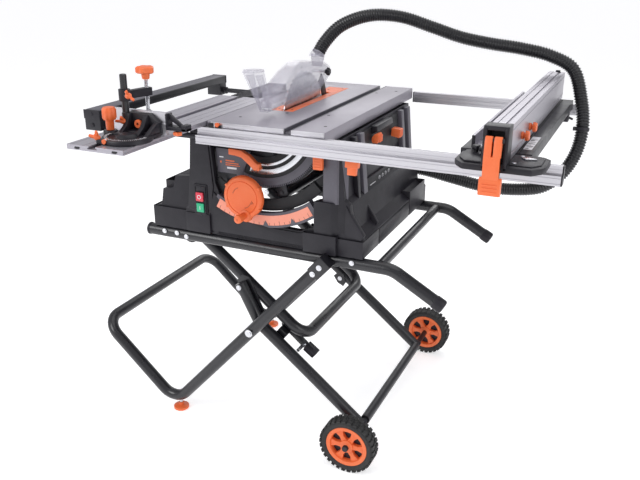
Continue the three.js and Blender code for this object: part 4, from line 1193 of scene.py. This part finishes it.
def makeRails():
    stock = Stock()
    section = [
        (-338, 822), (-326, 822), (-326, 824), (-320, 824), (-320, 822), (-314, 822), (-314, 862), (-317.8, 862),
        (-317.8, 860.4), (-319.2, 860.4), (-319.2, 862), (-323, 862), (-323, 860.6), (-324.2, 860.6), (-324.2, 862),
        (-328, 862), (-328, 855), (-327, 854), (-327, 849), (-328, 848), (-328, 843.3), (-331.4, 843.3),
        (-331.4, 841.8), (-333, 841.8), (-333, 843.3), (-338, 843.3), (-338, 839.6), (-337, 839.2), (-337, 838.2),
        (-338, 837.8), (-338, 828), (-337, 827.6), (-337, 826.6), (-338, 826.2)]
    stock.take(slabShape("x", section, (132.6, 994.8)), 0)
    cap = [(-338, 822), (-314, 822), (-314, 862), (-328, 862), (-328, 843.3), (-338, 843.3)]
    stock.take(slabShape("x", cap, (994.8, 998)), 1, 1.0)
    stock.take(slabShape("x", cap, (130, 132.6)), 1, 0.8)
    stock.piece("frontRail", "rail_set", [alongX, moulding], ["front_rail"])

    stock = Stock()
    section = [(336, 833), (340, 833), (340, 834.5), (346, 834.5), (346, 833), (352, 833), (352, 863), (346, 863),
               (346, 861.6), (344, 861.6), (344, 863), (336, 863), (336, 854), (337.6, 853), (337.6, 850), (336, 849),
               (336, 842), (337.2, 841.4), (337.2, 840), (336, 839.4)]
    stock.take(slabShape("x", section, (469.5, 952.6)), 0)
    for x in ((467.3, 469.5), (952.6, 955)):
        stock.take(blockShape(x, (336, 352), (833, 863)), 1, 0.8)
    stock.piece("rearRail", "rail_set", [alongX, moulding], ["rear_rail"])

    stock = Stock()
    for x in ((782, 804), (805.2, 902), (903.2, 930)):
        stock.take(blockShape(x, (-313.7, 335.7), (850, 875)), 0, 1.4)
    # A near-black block filling between the three bars: painted shade in the gaps between them.
    stock.take(blockShape((783, 929), (-313, 335), (851, 873.4)), 1)
    for y in (-313.6, 332):
        stock.take(blockShape((781.6, 930.4), (y, y + 3.4), (849.6, 875.4)), 2, 0.8)
    stock.take(blockShape((904, 922), (-272, -150), (874.6, 875.3)), 3, 0.1)
    for k, y in enumerate((-266, -252, -244, -232, -222, -206, -190, -180)):
        stock.take(blockShape((906, 920 if k % 3 else 914), (y, y + (2 if k % 2 else 5)), (875.2, 875.45)), 1)
    stock.take(blockShape((912, 930.2), (262, 290), (828, 851)), 2, 1.6)
    stock.take(barShape((926, 284, 838), (940, 286, 832), 3), 2)
    stock.piece("rightSupport", "rail_set", [blackMetal, darkPrintAndShade, moulding, whiteMark],
                ["right_support_bar"])


fenceFit = {"x": (857, 899), "y": (-400, 345), "z": (878, 949)}


def makeStrap():
    stock = Stock()
    ring = [(18.8, -4), (20.6, -4), (20.6, 4), (18.8, 4)]
    stock.take(hoopShape(ring, (965.6, 289, 808), Vector((0.02, 0.2, 1)).normalized(), 40), 0)
    stock.take(blockShape((943, 949), (283, 291), (802, 812)), 0, 1.4)
    stock.piece("hoseStrap", "saw_base", [moulding])


def makeFence():
    (x0, x1), (z0, z1) = fenceFit["x"], fenceFit["z"]
    stock = Stock()
    section = [
        (x0, z0), (x1, z0), (x1, 888), (x1 - 1.2, 889), (x1 - 1.2, 893), (x1, 894), (x1, 936), (x1 - 1, 937),
        (x1 - 1, 939), (x1, 940), (x1, z1), (889, z1), (889, z1 - 2.6), (883, z1 - 2.6), (883, z1), (869, z1),
        (869, z1 - 1.4), (867, z1 - 1.4), (867, z1), (x0, z1), (x0, 940), (x0 + 1.2, 939), (x0 + 1.2, 934), (x0, 933),
        (x0, 900), (x0 + 1.4, 899), (x0 + 1.4, 890), (x0, 889)]
    stock.take(slabShape("y", section, (-400, 341.5)), 0)
    stock.take(blockShape((x0 + 0.4, x1 - 0.4), (341.5, 345), (z0 + 0.6, z1 - 0.6)), 1, 1.0)
    stock.take(blockShape((874, 886), (338, 346), (z1 - 1, z1 + 4)), 1, 1.0)
    for y in (-186, -276):
        stock.take(turnedShape([(0, 0), (7.4, 0), (8.4, 2), (8.0, 5), (5.4, 6.5), (5.4, 8), (9.4, 9), (10, 11),
                                (10, 15), (8.6, 17), (0, 17)],
                               (x1 - 0.6, y, 905), (1, 0, 0), 28), 2)
        stock.takeMesh(arcBlocks(12, 9.8, 0, 30, (1.6, 5, 1.8), orangeGrip), 2,
                       Matrix.Translation((x1 + 10.6, y, 905)) @ Matrix.Rotation(math.pi / 2, 4, "Z"))
    for k in range(4):
        stock.take(blockShape((870 + 3.4 * k, 872.4 + 3.4 * k), (-384 + 2 * k, -362 - 3 * k), (z1 - 0.2, z1 + 0.25)), 3)
    stock.piece("ripFence", "fence", [alongY, moulding, orangeGrip, whiteMark], ["rip_fence"])

    stock = Stock()
    for x in ((853, 861), (895, 903)):
        stock.take(slabShape("x", [(-440, 868), (-400.3, 868), (-400.3, 955), (-436, 955), (-440, 948)], x), 0, 2.0)
    stock.take(blockShape((858, 898), (-438, -403), (946, 955)), 0, 2.0)
    # A near-black block at the back of the head frame: painted shade inside the head.
    stock.take(blockShape((860, 896), (-408, -400.4), (868, 950)), 1)
    stock.take(blockShape((858, 898), (-438, -402), (866, 882)), 0, 1.5)
    plates = [(794, -408), (800, -420), (816, -440), (951, -440), (967, -420), (973, -408), (973, -345), (958, -330),
              (809, -330), (794, -345)]
    stock.take(slabShape("z", plates, (864.5, 877.5)), 0, 3.0)
    stock.take(slabShape("z", [(802, -404), (818, -430), (852, -430), (852, -338), (812, -338), (802, -348)],
                         (877, 881.5)), 0, 1.6)
    stock.take(slabShape("z", [(905, -424), (948, -424), (963, -404), (963, -350), (952, -338), (905, -338)],
                         (877, 879.6)), 0, 1.2)
    for x, y in ((936, -372), (918, -352), (912, -410), (812, -352)):
        stock.take(turnedShape([(0, 0), (4.6, 0), (4.6, 1.4), (3.6, 2), (0, 2)], (x, y, 879), steps=20), 2)
    stock.take(slabShape("z", [(918, -368), (930, -380), (950, -372), (934, -362)], (879.4, 882.4)), 2, 0.8)
    for x, y in ((824, -356), (841, -367)):
        stock.take(turnedShape([(0, 0), (5, 0), (5, 6), (0, 6)], (x, y, 881), steps=20), 1)
        stock.take(lobedShape((x, y, 886), (0, 0, 1), 9.5, 9, 5, 2.2), 0)
    stock.piece("fenceHead", "fence", [moulding, darkPrintAndShade, brightSteel], ["fence_head"])

    stock = Stock()
    section = [(806, 880), (850, 880), (850, 885), (836, 885), (836, 883.4), (833, 883.4), (833, 885), (822, 885),
               (822, 883.6), (820, 883.6), (820, 885), (813, 885), (813, 903), (811.6, 906), (806, 906), (806, 899),
               (807, 898), (807, 894), (806, 893)]
    stock.take(slabShape("y", section, (-320, 232)), 0)
    stock.take(slabShape("y", [(806, 880), (850, 880), (850, 885), (813, 885), (813, 903), (811.6, 906), (806, 906)],
                         (232, 235)), 1)
    stock.take(slabShape("y", [(806, 880), (850, 880), (850, 885), (813, 885), (813, 903), (811.6, 906), (806, 906)],
                         (-323, -320)), 1)
    stock.piece("lowFence", "fence", [alongY, moulding], ["low_fence"])

    stock = Stock()
    for x in ((861, 875.4), (878.8, 893.5)):
        neck = [(-440.6, 930), (-444, 937), (-452, 938.5), (-457, 930), (-460, 900), (-459.5, 858), (-449, 858),
                (-448, 900), (-445, 916)]
        stock.take(slabShape("x", neck, x), 0, 1.8)
    stock.take(slabShape("x", [(-460.4, 900), (-448.4, 900), (-447, 842), (-459.5, 842)], (861, 893.5)), 0, 1.8)
    stock.take(slabShape("x", [(-462, 823), (-448, 820), (-443.6, 856), (-456, 859), (-460, 855)], (855.5, 898.5)), 0,
               2.4)
    for z in (830, 837, 844):
        stock.take(blockShape((863, 892), (-462.6, -459), (z - 1.3, z + 1.3)), 0, 0.6)
    stock.take(barShape((859, -448, 930), (897, -448, 930), 5), 1)
    stock.piece("fenceCamLever", "fence_cam", [orangeGrip, moulding], ["fence_cam_lever"])


# Carriage and mitre gauge.

def wingKnob(stock, place, direction, span, finish=0):
    hub = [(0, 0), (0.26, 0), (0.3, 0.1), (0.3, 0.5), (0.22, 0.62), (0, 0.66)]
    stock.take(turnedShape([(r * span, h * span) for r, h in hub], place, direction, 24), finish)
    turn = Vector((0, 0, 1)).rotation_difference(Vector(direction)).to_matrix().to_4x4()
    for side in (-1, 1):
        wing = slabShape("y", [(0.1 * side * span, 0.12 * span), (0.5 * side * span, 0.5 * span),
                               (0.66 * side * span, 0.78 * span), (0.52 * side * span, 0.92 * span),
                               (0.2 * side * span, 0.62 * span)], (-0.13 * span, 0.13 * span))
        bmesh.ops.transform(wing, matrix=Matrix.Translation(Vector(place)) @ turn, verts=wing.verts)
        stock.take(wing, finish, 0.06 * span)


def makeCarriage():
    stock = Stock()
    section = [
        (2, 864), (151, 864), (151, 867), (150, 867.6), (150, 869), (151, 869.6), (151, 875), (128, 875), (128, 874.2),
        (126.6, 874.2), (126.6, 875), (104, 875), (104, 874.2), (102.6, 874.2), (102.6, 875), (79, 875), (79, 872),
        (82.5, 872), (82.5, 868.6), (57.5, 868.6), (57.5, 872), (61, 872), (61, 875), (46, 875), (46, 874.2),
        (44.6, 874.2), (44.6, 875), (14, 875), (14, 874.2), (12.6, 874.2), (12.6, 875), (2, 875)]
    stock.take(slabShape("y", section, (-635.6, -5)), 0)
    # Near-black pieces at the front cell openings: painted shade inside the openings.
    for x in (30, 129):
        cell = [(x - 8, 867), (x - 3, 866), (x + 3, 866), (x + 8, 869), (x + 6, 871.4), (x - 6, 871.4)]
        stock.take(slabShape("y", cell, (-636, -635)), 1)
    stock.piece("carriageTable", "carriage", [alongY, darkPrintAndShade], ["carriage_table"])
    eased("left_support", "left_extension", blackMetal, 2.0)
    stock = Stock()
    # A thin slate sheet over the top of the black bar: painted light on its lit top face.
    stock.take(blockShape((-208, -163), (-326, 294), (874.8, 875.6)), 0, 0.3)
    for y in (-333.4, 298.4):
        stock.take(blockShape((-211, -160), (y, y + 3), (852, 876)), 1, 1.0)
    spots = [((-186, -333.6, z), (0, -1, 0)) for z in (866, 836)] + [((-162, y, 830), (1, 0, 0)) for y in (-318, -262)]
    stock.takeMesh(boltHeads(spots, blackMetal, 4.0, 3.0), 1)
    for y in (-300, 285):
        stock.take(hoopShape([(7.8, 0), (11, 0), (11, 12), (7.8, 12)], (-162, y, 830), (1, 0, 0), 24), 1)
    stock.piece("leftSupportTrim", "left_extension", [satinSlate, moulding])


gaugeFit = {"centre": (106, -560, 875.3), "post": (64, -505), "handle": (49, -545), "screw": (80, -445)}


def makeGauge():
    gx, gy, gz = gaugeFit["centre"]
    px, py = gaugeFit["post"]
    hx, hy = gaugeFit["handle"]
    sx, sy = gaugeFit["screw"]
    stock = Stock()
    disc = [(0, 0), (54, 0), (56, 2.4), (56, 8), (54.6, 10.4), (50.6, 11.4), (44, 11.4), (42.8, 9), (24, 9), (22, 12),
            (17, 16), (0, 16)]
    stock.take(turnedShape(disc, (gx, gy, gz), steps=72), 0)
    stock.take(turnedShape([(0, 0), (15, 0), (16, 2), (16, 14), (14.6, 16), (0, 16)], (hx, hy, gz), steps=36), 0)
    stock.take(blockShape((hx, gx - 20), (hy - 12, hy + 12), (gz, gz + 13)), 0, 2.5)
    marks = Matrix.Translation((gx, gy, gz + 11.5)) @ Matrix.Rotation(-math.pi / 2, 4, "X")
    stock.takeMesh(arcBlocks(37, 47.5, 180, 5, (5, 0.4, 0.8), whiteMark), 2, marks)
    stock.takeMesh(arcBlocks(13, 46.5, 180, 15, (7.4, 0.5, 1.1), whiteMark), 2, marks)
    stock.take(slabShape("y", [(70, 883), (152, 883), (152, 908), (145, 912), (126, 926), (70, 926)], (-507, -493)),
               0, 2.4)
    stock.take(blockShape((70, 152), (-530, -493), (878, 889)), 0, 2.5)
    for x, top in ((70, 926), (116, 924), (141, 909)):
        side = [(-555, 883), (-500, 883), (-500, top), (-512, top - 1), (-528, 900)]
        stock.take(slabShape("x", side, (x, x + 11)), 0, 2.0)
    stock.take(barShape((px, py, 880), (px, py, 1009), 8, 28, 1.6), 3)
    for z, r in ((884, 11), (914, 9.6)):
        stock.take(turnedShape([(0, 0), (r, 0), (r, 9), (r - 1.4, 11), (0, 11)], (px, py, z), steps=28), 3)
    stock.take(hoopShape([(3, 0), (8.6, 0), (9.6, 2), (9.6, 6), (8, 8), (3.6, 8), (3, 7)], (100, -507, 902),
                         (0, -1, 0), 36), 1)
    # A near-black disc inside the orange ring: painted shade in its hole.
    stock.take(turnedShape([(0, 0), (3, 0), (3, 4), (0, 4)], (100, -507, 902), (0, -1, 0), 16), 4)
    wingKnob(stock, (70, -519, 905), (-0.5, -0.7, 0.5), 21, 1)
    stock.take(blockShape((64, 88), (-614, -596), (875.8, 886)), 0, 2.0)
    wingKnob(stock, (66, -606, 885), (-0.45, -0.5, 0.74), 22, 1)
    for k in range(3):
        stock.take(turnedShape([(0, 0), (5.4, 0), (5.4, 2.6), (0, 2.6)], (86, -616 + 3.6 * k, 883), (0, 1, 0), 24),
                   2 if k == 1 else 1)
    stock.piece("mitreProtractor", "mitre_gauge", [moulding, orangeGrip, whiteMark, coatedTube, darkPrintAndShade],
                ["protractor"])

    stock = Stock()
    grip = [(0, 0), (8.4, 0), (9, 1.5), (9.4, 22), (12, 27), (0, 27)]
    stock.take(turnedShape(grip, (hx, hy, 891.8), steps=32), 0)
    stock.take(lobedShape((hx, hy, 914), (0, 0, 1), 16, 27.6, 9, 1.2, 72), 0)
    stock.piece("gaugeHandle", "mitre_handle", [orangeGrip], ["gauge_handle"])

    stock = Stock()
    section = [(-492.4, 878), (-480, 878), (-480, 928), (-483, 928), (-483, 926.6), (-485, 926.6), (-485, 928),
               (-490.4, 928),
               (-490.4, 905), (-492.4, 903)]
    stock.take(slabShape("x", section, (0.3, 159.8)), 0, 0.3)
    stock.piece("gaugeFence", "mitre_gauge", [alongX], ["gauge_fence"])

    stock = Stock()
    stock.take(slabShape("y", [(160.3, 890), (164.6, 890), (164.6, 926), (160.3, 926)], (-494, -472)), 0, 0.8)
    stock.take(slabShape("y", [(163, 890), (214, 890), (214, 897), (163, 899)], (-494, -472)), 0, 1.2)
    stock.take(slabShape("y", [(163, 926), (168, 926), (208, 896), (200, 893), (163, 915)], (-486, -480)), 0, 1.0)
    stock.take(blockShape((200, 214), (-494, -472), (890, 904)), 0, 1.6)
    stock.take(turnedShape([(0, 0), (4, 0), (4, 5), (0, 5)], (184, -483, 886), steps=20), 0)
    stock.take(lobedShape((184, -483, 878.2), (0, 0, 1), 10.5, 9, 5, 2.4), 1)
    stock.piece("fenceEndBracket", "mitre_gauge", [moulding, orangeGrip], ["fence_end_bracket"])

    eased("clamp_arm", "clamp", moulding, 1.6)
    stock = Stock()
    stock.take(barShape((px + 8, py - 8, 963), (px + 20, py - 15, 964), 3.4), 1)
    wingKnob(stock, (px + 19, py - 14, 964), (0.8, -0.55, 0.2), 22, 0)
    stock.piece("clampWing", "clamp", [orangeGrip, brightSteel])

    stock = Stock()
    thread = [(0, 918), (4.0, 918)]
    for k in range(28):
        thread += [(5.0, 919 + 2.5 * k), (4.1, 920.25 + 2.5 * k)]
    thread += [(4.4, 992), (0, 992)]
    stock.take(turnedShape(thread, (sx, sy, 0), steps=20), 0)
    stock.take(turnedShape([(0, 914), (7.4, 914), (8, 915), (8, 918.4), (5, 920.4), (0, 920.4)], (sx, sy, 0),
                           steps=28), 1)
    stock.take(turnedShape([(0, 990), (7.4, 990), (8.6, 992), (10, 1003), (0, 1003)], (sx, sy, 0), steps=28), 2)
    stock.take(lobedShape((sx, sy, 1003), (0, 0, 1), 22, 16, 5, 5.0, 60), 2)
    stock.piece("clampScrew", "clamp_spindle", [brightSteel, moulding, orangeGrip], ["clamp_screw"])


makeTable()
makeBlade()
makeGuard()
makeRails()
makeStrap()
makeFence()
makeCarriage()
makeGauge()
print("table, rails, fence, carriage and gauge ready")
